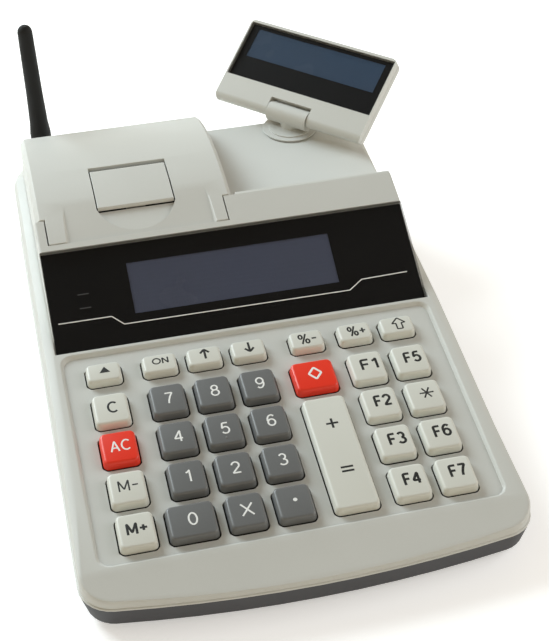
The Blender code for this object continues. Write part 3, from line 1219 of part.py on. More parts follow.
def make_latch(frame):
    """Flap in the lid's slot, on a pin at its back, with a hooked leg under its front."""
    pivot_y, pivot_z = latch_pivot()
    axis = add_axis("latch_axis", frame, (PAPER_X, pivot_y, pivot_z))
    half = SLOT_HALF_WIDTH - LATCH_GAP
    front, back = SLOT_FRONT_Y + LATCH_GAP, SLOT_BACK_Y - LATCH_BACK_GAP
    top = [(y - pivot_y, lid_top_z(y) - pivot_z) for y in (front, (front + back) / 2, back)]
    outline = top + [(y, z - LATCH_THICKNESS) for y, z in reversed(top)]
    latch = add_piece("lid_latch", prism(outline, "X", -half, half), "shell", axis)
    bm = bmesh.new()
    for side in (-1, 1):
        inner, outer = sorted((side * (half - LATCH_HUB_WIDTH), side * half))
        outline = arc_points((0.0, 0.0), LATCH_HUB_RADIUS, -math.pi, 0.0, SMALL_SEGMENTS // 2)
        outline += [(LATCH_HUB_RADIUS, top[-1][1] - LATCH_THICKNESS / 2),
                    (-LATCH_HUB_RADIUS, top[-1][1] - LATCH_THICKNESS / 2)]
        add_prism(bm, outline, "X", inner, outer)
    leg_y = front - pivot_y + LATCH_THICKNESS
    leg_low = top[0][1] - LATCH_LEG_LENGTH
    leg = [(leg_y, leg_low), (leg_y + 2 * LATCH_THICKNESS, leg_low), (leg_y + LATCH_THICKNESS, leg_low + LATCH_THICKNESS),
           (leg_y + LATCH_THICKNESS, top[0][1] - LATCH_THICKNESS / 2), (leg_y, top[0][1] - LATCH_THICKNESS / 2)]
    add_prism(bm, leg, "X", -LATCH_LEG_WIDTH / 2, LATCH_LEG_WIDTH / 2)
    join(latch, "latch_hubs", bm, axis)
    reach = SLOT_HALF_WIDTH + LATCH_EAR_WIDTH
    join(latch, "latch_pin", rod(LATCH_PIN_RADIUS, -reach, reach, "X"), axis)


# Printer chassis, platen and gears

CHEEK_INNER_X = PAPER_X + PAPER_WIDTH / 2
CHEEK_OUTER_X = CHEEK_INNER_X + TROUGH_WALL
GEAR_X = CHEEK_OUTER_X + GEAR_GAP


def mesh_distance(teeth, other_teeth):
    return GEAR_MODULE * (teeth + other_teeth) / 2 + GEAR_BACKLASH / 2


def idler_place():
    reach = mesh_distance(PLATEN_TEETH, IDLER_TEETH)
    return PLATEN_Y + reach * math.cos(IDLER_ANGLE), PLATEN_Z + reach * math.sin(IDLER_ANGLE)


def motor_place():
    y, z = idler_place()
    reach = mesh_distance(IDLER_TEETH, PINION_TEETH)
    return y + reach * math.cos(PINION_ANGLE), z + reach * math.sin(PINION_ANGLE)


def gear_outline(teeth, phase):
    """Straight-sided teeth about the pitch circle; a tooth's middle lies at the phase angle."""
    pitch = GEAR_MODULE * teeth / 2
    tip, root = pitch + GEAR_MODULE * GEAR_TIP_SHARE, pitch - GEAR_MODULE
    step = math.tau / teeth
    points = []
    for tooth in range(teeth):
        middle = phase + tooth * step
        for share, on_tip in TOOTH_SHARES:
            radius = tip if on_tip else root
            angle = middle + share * step
            points.append((radius * math.cos(angle), radius * math.sin(angle)))
    return points


def make_platen(root):
    """Rubber-covered roller on a steel shaft, with its gear pressed on at the right."""
    axis = add_axis("platen_axis", root, (0.0, PLATEN_Y, PLATEN_Z))
    left = PAPER_X - PAPER_WIDTH / 2 - TROUGH_WALL
    profile = [
        (SHAFT_RADIUS, left), (SHAFT_RADIUS, left + TROUGH_WALL + GEAR_GAP),
        (PLATEN_RADIUS, left + TROUGH_WALL + GEAR_GAP), (PLATEN_RADIUS, CHEEK_INNER_X - GEAR_GAP),
        (SHAFT_RADIUS, CHEEK_INNER_X - GEAR_GAP), (SHAFT_RADIUS, GEAR_X + GEAR_WIDTH / 2),
    ]
    roller = add_piece("platen_roller", turning(profile, "X", segments=ROUND_SEGMENTS), "rubber", axis)
    outline = gear_outline(PLATEN_TEETH, IDLER_ANGLE)
    join(roller, "platen_gear", prism(outline, "X", GEAR_X, GEAR_X + GEAR_WIDTH), axis)


def make_idler(root):
    """Idler gear: a tooth gap of it faces the platen's tooth, and another the pinion's."""
    y, z = idler_place()
    axis = add_axis("idler_axis", root, (0.0, y, z))
    step = math.tau / IDLER_TEETH
    phase = IDLER_ANGLE + math.pi + step / 2
    gear = add_piece("idler_gear", prism(gear_outline(IDLER_TEETH, phase), "X", GEAR_X, GEAR_X + GEAR_WIDTH),
                     "gear", axis)
    cut(gear, "idler_bore", rod(IDLER_AXLE_RADIUS + CLEAR, GEAR_X - OVERRUN, GEAR_X + GEAR_WIDTH + OVERRUN, "X"),
        axis)


def pinion_phase():
    """Phase that puts a gap of the pinion on the idler's nearest tooth."""
    idler_step = math.tau / IDLER_TEETH
    idler_phase = IDLER_ANGLE + math.pi + idler_step / 2
    offset = (PINION_ANGLE - idler_phase) / idler_step
    lead = (offset - round(offset)) * idler_step
    pinion_step = math.tau / PINION_TEETH
    return PINION_ANGLE + math.pi + pinion_step / 2 + lead * IDLER_TEETH / PINION_TEETH


def make_motor(root):
    """Stepper motor inside the chassis, and its pinion outside the right cheek."""
    y, z = motor_place()
    axis = add_axis("motor_axis", root, (0.0, y, z))
    face = CHEEK_INNER_X - CLEAR
    profile = [(MOTOR_RADIUS, face - MOTOR_LENGTH), (MOTOR_RADIUS, face - MOTOR_FLANGE_THICKNESS),
               (MOTOR_RADIUS + MOTOR_FLANGE, face - MOTOR_FLANGE_THICKNESS), (MOTOR_RADIUS + MOTOR_FLANGE, face)]
    motor = add_piece("stepper_motor", turning(profile, "X"), "steel", axis)
    depth = MOTOR_LENGTH / 2
    cut(motor, "motor_bearing", rod(MOTOR_SHAFT_RADIUS + CLEAR, face - depth, face + OVERRUN, "X"), axis)
    outline = gear_outline(PINION_TEETH, pinion_phase())
    pinion = add_piece("motor_pinion", prism(outline, "X", GEAR_X, GEAR_X + GEAR_WIDTH), "steel", axis)
    join(pinion, "motor_shaft", rod(MOTOR_SHAFT_RADIUS, face - depth + CLEAR, GEAR_X + GEAR_WIDTH / 2, "X"), axis)


def make_chassis(root):
    """Moulded printer chassis: two cheeks, the paper trough and the motor bay in front of it."""
    left = PAPER_X - PAPER_WIDTH / 2
    right = PAPER_X + PAPER_WIDTH / 2
    outer = TROUGH_RADIUS + TROUGH_WALL
    trough = arc_points((TROUGH_Y, TROUGH_Z), outer, 0.0, -math.pi / 2, TROUGH_STEPS // 2)
    motor_y, motor_z = motor_place()
    outline = [(TROUGH_Y + outer, CHASSIS_TOP_Z)] + trough + [
        (CHASSIS_FRONT_Y, CHASSIS_BOTTOM_Z),
        (CHASSIS_FRONT_Y, PLATEN_Z - PRINT_HEAD_HEIGHT),
        (PLATEN_Y - BEARING_CHEEK_HALF, PLATEN_Z - PRINT_HEAD_HEIGHT / 2),
        (PLATEN_Y - BEARING_CHEEK_HALF, BEARING_CHEEK_TOP_Z),
        (PLATEN_Y + BEARING_CHEEK_HALF, BEARING_CHEEK_TOP_Z),
        (PLATEN_Y + BEARING_CHEEK_HALF, CHASSIS_TOP_Z),
    ]
    chassis = add_piece("printer_frame", prism(outline, "X", left - TROUGH_WALL, right + TROUGH_WALL),
                        "chassis", root)
    inner = arc_points((TROUGH_Y, TROUGH_Z), TROUGH_RADIUS, 0.0, -math.pi, TROUGH_STEPS)
    hollow = [(TROUGH_Y + TROUGH_RADIUS, LID_TOP_Z)] + inner + [(TROUGH_Y - TROUGH_RADIUS, LID_TOP_Z)]
    cut(chassis, "paper_trough", prism(hollow, "X", left, right), root)
    wall_y = TROUGH_Y - TROUGH_RADIUS - TROUGH_WALL
    bay_low = CHASSIS_BOTTOM_Z + TROUGH_WALL
    bay = [(CHASSIS_FRONT_Y + TROUGH_WALL, bay_low), (wall_y, bay_low), (wall_y, LID_TOP_Z),
           (PLATEN_Y - BEARING_CHEEK_HALF - OVERRUN, LID_TOP_Z),
           (PLATEN_Y - BEARING_CHEEK_HALF - OVERRUN, PLATEN_Z - PRINT_HEAD_HEIGHT / 2),
           (CHASSIS_FRONT_Y + TROUGH_WALL, PLATEN_Z - PRINT_HEAD_HEIGHT - TROUGH_WALL)]
    cut(chassis, "motor_bay", prism(bay, "X", left, right), root)
    cut(chassis, "shaft_holes", rod(SHAFT_RADIUS + RUNNING, left - TROUGH_WALL - OVERRUN,
                                    right + TROUGH_WALL + OVERRUN, "X", PLATEN_Y, PLATEN_Z), root)
    cut(chassis, "motor_shaft_hole", rod(MOTOR_SHAFT_RADIUS + CLEAR * 2, right - OVERRUN,
                                         right + TROUGH_WALL + OVERRUN, "X", motor_y, motor_z), root)
    idler_y, idler_z = idler_place()
    join(chassis, "idler_axle", rod(IDLER_AXLE_RADIUS, right, GEAR_X + GEAR_WIDTH + CLEAR, "X",
                                    idler_y, idler_z), root)
    bm = bmesh.new()
    for x in (left, right):
        add_box(bm, x - TROUGH_WALL, x + TROUGH_WALL, motor_y - MOTOR_RADIUS * 2, motor_y + MOTOR_RADIUS * 2,
                BASE_BOTTOM_Z + CASE_WALL + CLEAR, CHASSIS_BOTTOM_Z + TROUGH_WALL / 2)
    join(chassis, "chassis_feet", bm, root)


def make_print_head(root):
    """Ceramic print head on its heat sink, pressed against the platen from the front."""
    back = PLATEN_Y - PLATEN_RADIUS - CLEAR
    top = PLATEN_Z + PRINT_HEAD_RISE
    half = PAPER_WIDTH / 2 - CLEAR
    head = box(PAPER_X - half, PAPER_X + half, back - PRINT_HEAD_THICKNESS, back, top - PRINT_HEAD_HEIGHT, top)
    add_piece("thermal_head", head, "steel", root)


def make_battery(root):
    width, depth, height = BATTERY_SIZE
    low = BASE_BOTTOM_Z + CASE_WALL + CLEAR
    add_piece("battery_pack", box(BATTERY_X - width / 2, BATTERY_X + width / 2, BATTERY_Y - depth / 2,
                                  BATTERY_Y + depth / 2, low, low + height), "battery", root)


def make_interface_board(root):
    """Rear board with two cable sockets and the power inlet."""
    back = CASE_BACK_Y - CASE_WALL - CLEAR
    board_back = back - CASE_WALL
    x0, x1 = REAR_BOARD_X - REAR_BOARD_HALF, REAR_BOARD_X + REAR_BOARD_HALF
    bm = box(x0, x1, back - REAR_BOARD_DEPTH, board_back, REAR_BOARD_Z, REAR_BOARD_Z + BOARD_THICKNESS)
    board = add_piece("interface_board", bm, "board", root)
    top = REAR_BOARD_Z + BOARD_THICKNESS
    socket_back = CASE_BACK_Y + SOCKET_PROUD
    bm = bmesh.new()
    for x in socket_places():
        add_box(bm, x - SOCKET_WIDTH / 2, x + SOCKET_WIDTH / 2, socket_back - SOCKET_DEPTH, socket_back,
                REAR_BOARD_Z + BOARD_THICKNESS / 2, top + SOCKET_HEIGHT)
    inlet_x = REAR_BOARD_X + REAR_BOARD_HALF * INLET_OFFSET_SHARE
    add_turning(bm, [(INLET_RADIUS, socket_back - SOCKET_DEPTH), (INLET_RADIUS, socket_back)], "Y", inlet_x,
                top + INLET_HEIGHT)
    join(board, "rear_sockets", bm, root)
    join(board, "inlet_support",
         box(inlet_x - INLET_RADIUS / 2, inlet_x + INLET_RADIUS / 2, socket_back - SOCKET_DEPTH - OVERRUN,
             board_back, REAR_BOARD_Z + BOARD_THICKNESS / 2, top + INLET_HEIGHT - INLET_BORE - CLEAR), root)
    bm = bmesh.new()
    for x in socket_places():
        middle = top + SOCKET_HEIGHT / 2
        add_box(bm, x - SOCKET_MOUTH_WIDTH / 2, x + SOCKET_MOUTH_WIDTH / 2, socket_back - SOCKET_MOUTH_DEPTH,
                socket_back + OVERRUN, middle - SOCKET_MOUTH_HEIGHT / 2, middle + SOCKET_MOUTH_HEIGHT / 2)
    cut(board, "socket_mouths", bm, root)
    inlet_low = socket_back - SOCKET_MOUTH_DEPTH * INLET_DEPTH_SHARE
    cut(board, "inlet_bore", rod(INLET_BORE, inlet_low, socket_back + OVERRUN, "Y", inlet_x, top + INLET_HEIGHT),
        root)
    join(board, "inlet_pin", rod(INLET_PIN, inlet_low - INLET_PIN, socket_back - INLET_PIN, "Y", inlet_x,
                                 top + INLET_HEIGHT), root)


# Customer display

def make_neck(root):
    """Turntable with concentric steps, a short stalk and the tilting barrel."""
    swivel = add_axis("display_swivel", root, (NECK_X, NECK_Y, DECK_Z), Matrix.Rotation(SWIVEL_REST, 3, "Z"))
    disc = CLEAR + NECK_DISC_THICKNESS
    tube = NECK_HOLE_RADIUS - RUNNING
    collar_top = -CASE_WALL - CLEAR
    profile = [
        (tube, collar_top - NECK_TAIL), (NECK_COLLAR_RADIUS, collar_top - NECK_TAIL / 2),
        (NECK_COLLAR_RADIUS, collar_top), (tube, collar_top), (tube, CLEAR), (NECK_DISC_RADIUS, CLEAR),
        (NECK_DISC_RADIUS, disc), (NECK_RING_RADIUS, disc), (NECK_RING_RADIUS, disc + NECK_RING_STEP),
        (NECK_CONE_RADIUS, disc + NECK_RING_STEP), (NECK_STALK_RADIUS, disc + 2 * NECK_RING_STEP),
        (NECK_STALK_RADIUS, BARREL_HEIGHT),
    ]
    neck = add_piece("display_neck", turning(profile, "Z"), "shell", swivel)
    join(neck, "barrel", rod(BARREL_RADIUS, -BARREL_HALF_LENGTH, BARREL_HALF_LENGTH, "X", 0.0, BARREL_HEIGHT,
                             ROUND_SEGMENTS), swivel)
    cut(neck, "cable_bore", rod(NECK_BORE_RADIUS, collar_top - NECK_TAIL - OVERRUN, BARREL_HEIGHT, "Z",
                                segments=SMALL_SEGMENTS), swivel)
    bm = bmesh.new()
    for side in (-1, 1):
        start = side * (BARREL_HALF_LENGTH - TILT_PIN_LENGTH - CLEAR)
        add_turning(bm, [(TILT_PIN_RADIUS + RUNNING, min(start, start + side * BARREL_RADIUS)),
                         (TILT_PIN_RADIUS + RUNNING, max(start, start + side * BARREL_RADIUS))],
                    "X", 0.0, BARREL_HEIGHT, SMALL_SEGMENTS)
    cut(neck, "pin_bores", bm, swivel)
    return add_axis("display_tilt", swivel, (0.0, 0.0, BARREL_HEIGHT), Matrix.Rotation(-TILT_REST, 3, "X"))


def head_outline(drawn_in):
    """Side view (y, z) of the head: flat face and back, and a round nose at the bottom."""
    front = -HEAD_FACE + drawn_in
    back = HEAD_THICKNESS - HEAD_FACE - drawn_in
    radius = (back - front) / 2
    centre = ((front + back) / 2, HEAD_THICKNESS / 2 - HEAD_BOTTOM)
    nose = arc_points(centre, radius, 0.0, -math.pi, HEAD_NOSE_STEPS)
    return [(back, HEAD_TOP - drawn_in)] + nose + [(front, HEAD_TOP - drawn_in)]


def head_block(drawn_in):
    half = HEAD_HALF_WIDTH - drawn_in
    return prism(head_outline(drawn_in), "X", -half, half)


def head_face_outline():
    half = HEAD_HALF_WIDTH
    return rounded_rectangle(-half, half, -HEAD_BOTTOM - HEAD_CORNER / 4, HEAD_TOP, HEAD_CORNER, 2)


def notch_box():
    half = BARREL_HALF_LENGTH + NOTCH_GAP
    return box(-half, half, -HEAD_THICKNESS, HEAD_THICKNESS * 2, -HEAD_THICKNESS, BARREL_RADIUS + NOTCH_GAP)


def make_head(tilt):
    """Head in two shells, with its smoked window and display panel."""
    split = HEAD_SPLIT - HEAD_FACE
    wide = HEAD_HALF_WIDTH + OVERRUN
    window_top = HEAD_TOP - HEAD_WINDOW_TOP_MARGIN
    window_low = window_top - HEAD_WINDOW_HEIGHT
    window_half = HEAD_HALF_WIDTH - HEAD_WINDOW_MARGIN
    seat_y = -HEAD_FACE + HEAD_WINDOW_THICKNESS + CLEAR
    notch_half = BARREL_HALF_LENGTH + NOTCH_GAP
    for name, keep_front in (("head_front", True), ("head_back", False)):
        shell = add_piece(name, head_block(0.0), "shell", tilt)
        if keep_front:
            waste = box(-wide, wide, split, HEAD_THICKNESS * 2, -HEAD_THICKNESS, HEAD_TOP + OVERRUN)
        else:
            waste = box(-wide, wide, -HEAD_THICKNESS, split + CLEAR, -HEAD_THICKNESS, HEAD_TOP + OVERRUN)
        cut(shell, name + "_split", waste, tilt)
        tool = add_tool(name + "_corners", prism(head_face_outline(), "Y", -HEAD_THICKNESS, HEAD_THICKNESS * 2), tilt)
        apply_tool(shell, tool, "INTERSECT")
        low = BARREL_RADIUS + NOTCH_GAP + HEAD_WALL
        hollow_half = HEAD_HALF_WIDTH - HEAD_WALL
        hollow_top = HEAD_TOP - HEAD_WALL
        if keep_front:
            hollow = box(-hollow_half, hollow_half, seat_y + HEAD_WALL, split + OVERRUN, low, hollow_top)
        else:
            back = HEAD_THICKNESS - HEAD_FACE - HEAD_WALL
            hollow = box(-hollow_half, hollow_half, split - OVERRUN, back, low, hollow_top)
        cut(shell, name + "_hollow", hollow, tilt)
        cut(shell, name + "_notch", notch_box(), tilt)
    front = bpy.data.objects["head_front"]
    cut(front, "head_window_seat",
        box(-window_half - CLEAR, window_half + CLEAR, -HEAD_THICKNESS, seat_y, window_low - CLEAR,
            window_top + CLEAR), tilt)
    lcd_low = window_low + HEAD_WINDOW_HEIGHT * HEAD_LCD_LOW_SHARE
    lcd_high = window_low + HEAD_WINDOW_HEIGHT * HEAD_LCD_HIGH_SHARE
    cut(front, "head_lcd_opening",
        box(-HEAD_LCD_HALF_WIDTH - CLEAR, HEAD_LCD_HALF_WIDTH + CLEAR, 0.0 - HEAD_FACE, split + OVERRUN,
            lcd_low - CLEAR, lcd_high + CLEAR), tilt)
    bm = bmesh.new()
    for side in (-1, 1):
        start, end = side * (BARREL_HALF_LENGTH - TILT_PIN_LENGTH), side * (notch_half + HEAD_WALL)
        add_turning(bm, [(TILT_PIN_RADIUS, min(start, end)), (TILT_PIN_RADIUS, max(start, end))], "X",
                    segments=SMALL_SEGMENTS)
    join(front, "tilt_pins", bm, tilt)
    bm = bmesh.new()
    for side in (-1, 1):
        start, end = side * HEAD_WALL, side * (notch_half + HEAD_WALL + CLEAR)
        add_turning(bm, [(TILT_PIN_RADIUS + CLEAR, min(start, end)), (TILT_PIN_RADIUS + CLEAR, max(start, end))],
                    "X", segments=SMALL_SEGMENTS)
    cut(bpy.data.objects["head_back"], "tilt_pin_room", bm, tilt)
    add_piece("head_window", box(-window_half, window_half, -HEAD_FACE, -HEAD_FACE + HEAD_WINDOW_THICKNESS,
                                 window_low, window_top), "smoked", tilt)
    add_piece("head_lcd", box(-HEAD_LCD_HALF_WIDTH, HEAD_LCD_HALF_WIDTH, seat_y,
                              seat_y + HEAD_LCD_THICKNESS, lcd_low, lcd_high), "panel", tilt)


# Antenna

def make_antenna(root):
    """Knuckle base that swivels on the case's back, and the whip that folds on it."""
    swivel = add_axis("antenna_swivel", root, (ANTENNA_X, ANTENNA_Y, ANTENNA_Z), Matrix.Rotation(ANTENNA_LEAN, 3, "Y"))
    inside = CASE_BACK_Y - CASE_WALL - OVERRUN - ANTENNA_Y
    wall = CASE_BACK_Y + CLEAR - ANTENNA_Y
    ear_out = ANTENNA_TONGUE_HALF + CLEAR + ANTENNA_EAR
    nut_end = wall + ANTENNA_NUT_LENGTH
    profile = [
        (ANTENNA_STEM_RADIUS, inside), (ANTENNA_STEM_RADIUS, wall), (ANTENNA_NUT_RADIUS, wall),
        (ANTENNA_NUT_RADIUS, nut_end), (ANTENNA_STEM_RADIUS, nut_end),
        (ANTENNA_STEM_RADIUS, -ANTENNA_KNUCKLE_RADIUS - CLEAR),
    ]
    base = add_piece("antenna_base", turning(profile, "Y"), "chassis", swivel)
    web = nut_end - ANTENNA_STEM_RADIUS / 2
    arc = arc_points((0.0, 0.0), ANTENNA_KNUCKLE_RADIUS, -math.pi / 2, math.pi / 2, SMALL_SEGMENTS // 2)
    join(base, "antenna_fork", prism(arc + [(web, ANTENNA_KNUCKLE_RADIUS), (web, -ANTENNA_KNUCKLE_RADIUS)],
                                     "X", -ear_out, ear_out), swivel)
    gap = ANTENNA_TONGUE_HALF + CLEAR
    cut(base, "antenna_gap", box(-gap, gap, -ANTENNA_KNUCKLE_RADIUS - CLEAR, ANTENNA_KNUCKLE_RADIUS + OVERRUN,
                                 -ANTENNA_KNUCKLE_RADIUS - OVERRUN, ANTENNA_KNUCKLE_RADIUS + OVERRUN), swivel)
    join(base, "antenna_pin", rod(ANTENNA_PIN_RADIUS, -ear_out + ANTENNA_EAR / 2, ear_out - ANTENNA_EAR / 2, "X"),
         swivel)
    fold = add_axis("antenna_fold", swivel, (0.0, 0.0, 0.0))
    profile = [
        (ANTENNA_FOOT_RADIUS, ANTENNA_FOOT_Z), (ANTENNA_FOOT_RADIUS, ANTENNA_FLARE_Z - ANTENNA_FOOT_Z),
        (ANTENNA_FOOT_RADIUS - ANTENNA_EAR / 4, ANTENNA_FLARE_Z), (ANTENNA_WAIST_RADIUS, ANTENNA_WAIST_Z),
        (ANTENNA_TIP_RADIUS, ANTENNA_LENGTH - ANTENNA_TIP_RADIUS),
    ]
    for step in range(1, ANTENNA_TIP_STEPS):
        angle = math.pi / 2 * step / ANTENNA_TIP_STEPS
        profile.append((ANTENNA_TIP_RADIUS * math.cos(angle),
                        ANTENNA_LENGTH - ANTENNA_TIP_RADIUS * (1 - math.sin(angle))))
    whip = add_piece("antenna_whip", turning(profile, "Z"), "rubber", fold)
    radius = ANTENNA_KNUCKLE_RADIUS - CLEAR
    arc = arc_points((0.0, 0.0), radius, -math.pi, 0.0, SMALL_SEGMENTS // 2)
    tongue = arc + [(radius, ANTENNA_FOOT_Z + CLEAR), (-radius, ANTENNA_FOOT_Z + CLEAR)]
    join(whip, "antenna_tongue", prism(tongue, "X", -ANTENNA_TONGUE_HALF, ANTENNA_TONGUE_HALF), fold)
    cut(whip, "antenna_pin_hole", rod(ANTENNA_PIN_HOLE_RADIUS, -ear_out, ear_out, "X"), fold)


def display_reach():
    """The furthest X and Y that the tilted and swivelled head reaches, in the body's frame."""
    back = HEAD_TOP * math.sin(TILT_REST) + (HEAD_THICKNESS - HEAD_FACE) * math.cos(TILT_REST)
    turn_x, turn_y = math.cos(SWIVEL_REST), abs(math.sin(SWIVEL_REST))
    return NECK_X + HEAD_HALF_WIDTH * turn_x + back * turn_y, NECK_Y + HEAD_HALF_WIDTH * turn_y + back * turn_x


def build():
    for item in list(bpy.data.objects):
        bpy.data.objects.remove(item, do_unlink=True)
    reach_x, reach_y = display_reach()
    middle_x, middle_y = (reach_x - CASE_FRONT_HALF_WIDTH) / 2, (reach_y + CASE_FRONT_Y) / 2
    root = add_axis("body_root", None, (-middle_x, -middle_y, 0.0))
    tray = add_axis("tray_plane", root, (0.0, TRAY_Y, TRAY_Z), Matrix.Rotation(TRAY_TILT, 3, "X"))
    window = add_axis("window_plane", root, (0.0, WINDOW_Y, WINDOW_Z), Matrix.Rotation(WINDOW_TILT, 3, "X"))
    make_lower_case(root)
    make_upper_case(root, tray, window)
    make_feet(root)
    make_window(window)
    make_key_mat(tray)
    make_main_board(tray)
    for name, finish, centre, size in key_layout():
        make_key(name, finish, centre, size, tray)
    make_latch(make_lid(root))
    make_chassis(root)
    make_platen(root)
    make_idler(root)
    make_motor(root)
    make_print_head(root)
    make_battery(root)
    make_interface_board(root)
    make_head(make_neck(root))
    make_antenna(root)


build()
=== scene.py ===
"""Looks of the ticket register: rounded edges, finishes, printed legends, displays and small fittings.

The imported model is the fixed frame. Every size here is in metres in that frame: X runs to the
operator's right, Y to the back and Z up. The file is laid out as an add-on and is run as a script.
"""

import json
import math

import bmesh
import bpy
from bmesh.types import BMEdge, BMFace, BMVert
from bpy.props import FloatProperty, FloatVectorProperty, PointerProperty
from mathutils import Matrix, Vector

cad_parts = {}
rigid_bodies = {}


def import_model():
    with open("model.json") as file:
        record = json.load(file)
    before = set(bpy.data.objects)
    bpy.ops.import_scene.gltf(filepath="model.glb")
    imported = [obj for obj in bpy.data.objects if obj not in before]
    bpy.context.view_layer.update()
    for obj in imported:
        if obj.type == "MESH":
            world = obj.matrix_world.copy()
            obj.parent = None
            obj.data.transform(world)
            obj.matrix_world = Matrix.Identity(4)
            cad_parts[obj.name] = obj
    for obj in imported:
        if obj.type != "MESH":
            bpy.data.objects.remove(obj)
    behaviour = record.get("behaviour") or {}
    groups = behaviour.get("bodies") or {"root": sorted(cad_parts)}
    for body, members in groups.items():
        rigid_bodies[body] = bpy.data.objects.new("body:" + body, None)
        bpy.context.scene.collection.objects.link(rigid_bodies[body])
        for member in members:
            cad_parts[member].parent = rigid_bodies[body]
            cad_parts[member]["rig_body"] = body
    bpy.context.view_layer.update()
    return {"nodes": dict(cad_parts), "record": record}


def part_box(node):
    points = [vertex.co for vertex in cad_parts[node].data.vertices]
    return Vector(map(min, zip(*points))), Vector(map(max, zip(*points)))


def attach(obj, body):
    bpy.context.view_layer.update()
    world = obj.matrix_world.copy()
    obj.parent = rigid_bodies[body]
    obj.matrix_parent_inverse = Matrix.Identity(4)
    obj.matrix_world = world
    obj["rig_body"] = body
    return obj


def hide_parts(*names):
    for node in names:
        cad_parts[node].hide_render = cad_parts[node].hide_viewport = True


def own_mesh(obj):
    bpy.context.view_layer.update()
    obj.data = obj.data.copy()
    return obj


bl_info = {
    "name": "Ticket register looks",
    "version": (1, 0, 0),
    "blender": (4, 5, 0),
    "location": "3D View > Sidebar > Register",
    "description": "Dresses the packed ticket register with its finishes, legends and fittings",
    "category": "Object",
}

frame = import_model()
MM = 0.001

BODY_SHIFT = Vector((-7.633 * MM, -22.069 * MM, 0.0))
JOINTS = {joint["name"]: joint for joint in frame["record"]["behaviour"]["joints"]}


def plane(y, z, lean):
    """A place over the case's middle line, in mm, that leans back by some degrees."""
    return Matrix.Translation(BODY_SHIFT + Vector((0.0, y * MM, z * MM))) @ Matrix.Rotation(math.radians(lean), 4, "X")


# Planes that pieces are placed on: the key tray, the window's slope and the customer display's axis
TRAY = plane(-42.5, 27.6, 8.0)
SLOPE = plane(-1.9, 34.25, 29.5)
HEAD_TURN, HEAD_LEAN = math.radians(-46.2), math.radians(-54.3)
HEAD = (
    Matrix.Translation(Vector(JOINTS["display_tilt"]["pos_m"]))
    @ Matrix.Rotation(HEAD_TURN, 4, "Z") @ Matrix.Rotation(HEAD_LEAN, 4, "X")
)

# Heights of the keys above the tray's plane: the cap's top, its foot under the shell, and the mat
KEY_TOP, KEY_FOOT = 3.4 * MM, -2.5 * MM
MAT_TOP = -6.6 * MM


def size(default, name, description):
    """A length that a user may change, in metres."""
    return FloatProperty(
        name=name, description=description, default=default, min=0.0, precision=5, subtype="DISTANCE", unit="LENGTH"
    )


def colour(default, name, description):
    """A colour that a user may change, linear."""
    return FloatVectorProperty(
        name=name, description=description, default=default, size=3, min=0.0, max=1.0, subtype="COLOR"
    )


def amount(default, name, description):
    """A plain number that a user may change."""
    return FloatProperty(name=name, description=description, default=default, min=0.0)


class RegisterColours(bpy.types.PropertyGroup):
    """Colours of the mouldings, keys, glass and inks."""
    shell: colour((0.580, 0.588, 0.562), "Shell", "Light case plastic")
    base: colour((0.045, 0.046, 0.052), "Base", "Dark case plastic")
    light_key: colour((0.650, 0.660, 0.612), "Light keys", "Off-white key caps")
    dark_key: colour((0.140, 0.146, 0.150), "Number keys", "Grey key caps")
    red_key: colour((0.800, 0.034, 0.012), "Red keys", "Red key caps")
    # Near-black: partly the plungers' own colour, partly painted shade in the gaps round the key caps.
    plunger_and_gap_shade: colour((0.012, 0.012, 0.012), "Plungers", "Lower part of the keys, inside the case")
    dark_ink: colour((0.012, 0.013, 0.014), "Dark ink", "Legends on light keys")
    light_ink: colour((0.820, 0.830, 0.820), "Light ink", "Legends on grey and red keys")
    mask: colour((0.006, 0.006, 0.006), "Window mask", "Black print behind the windows")
    smoke: colour((0.004, 0.004, 0.005), "Smoked acrylic", "Tint of the windows")
    glass: colour((0.270, 0.310, 0.480), "Display glass", "Operator's display")
    head_glass: colour((0.200, 0.330, 0.560), "Customer's display glass", "Customer display")
    rubber: colour((0.008, 0.0085, 0.0085), "Rubber", "Antenna, feet and roller")
    board: colour((0.018, 0.105, 0.042), "Board", "Solder mask")
    chassis: colour((0.030, 0.031, 0.033), "Chassis", "Printer mouldings")
    gear: colour((0.620, 0.600, 0.520), "Gears", "Natural acetal")
    silicone: colour((0.090, 0.092, 0.096), "Key mat", "Silicone")
    wrap: colour((0.050, 0.130, 0.300), "Battery wrap", "Shrink film")


class RegisterEdges(bpy.types.PropertyGroup):
    """Radii that soften the moulded edges."""
    shell: size(0.45 * MM, "Shell edges", "Width of the rounded edges of the light shell")
    base: size(0.5 * MM, "Base edges", "Width of the rounded edges of the base")
    lid: size(0.4 * MM, "Lid edges", "Width of the rounded edges of the lid and latch")
    key: size(0.95 * MM, "Key edges", "Width of the rounded top edges of the key caps")
    key_corner: size(2.1 * MM, "Key corners", "Radius of the key caps' corners")
    key_draft: size(0.40 * MM, "Key draft", "How far a key cap draws in towards its top, each side")
    hole: size(0.65 * MM, "Key hole corners", "Width of the rounding in the corners of the key holes")
    hole_rim: size(0.18 * MM, "Key hole rims", "Width of the rounded edges of the key holes")
    head: size(0.35 * MM, "Display head edges", "Width of the rounded edges of the customer display")
    fine: size(0.12 * MM, "Fine edges", "Width of the rounded edges of small parts")


class RegisterLegends(bpy.types.PropertyGroup):
    """Sizes of the printed legends."""
    ink: size(0.04 * MM, "Ink thickness", "How far a print stands on its surface")
    scale: amount(1.0, "Legend size", "Size of every legend against the drawn one")
    weight: amount(1.0, "Legend weight", "Width of the legends' strokes against the drawn ones")
    line: size(0.42 * MM, "Window line", "Width of the line printed on the window")


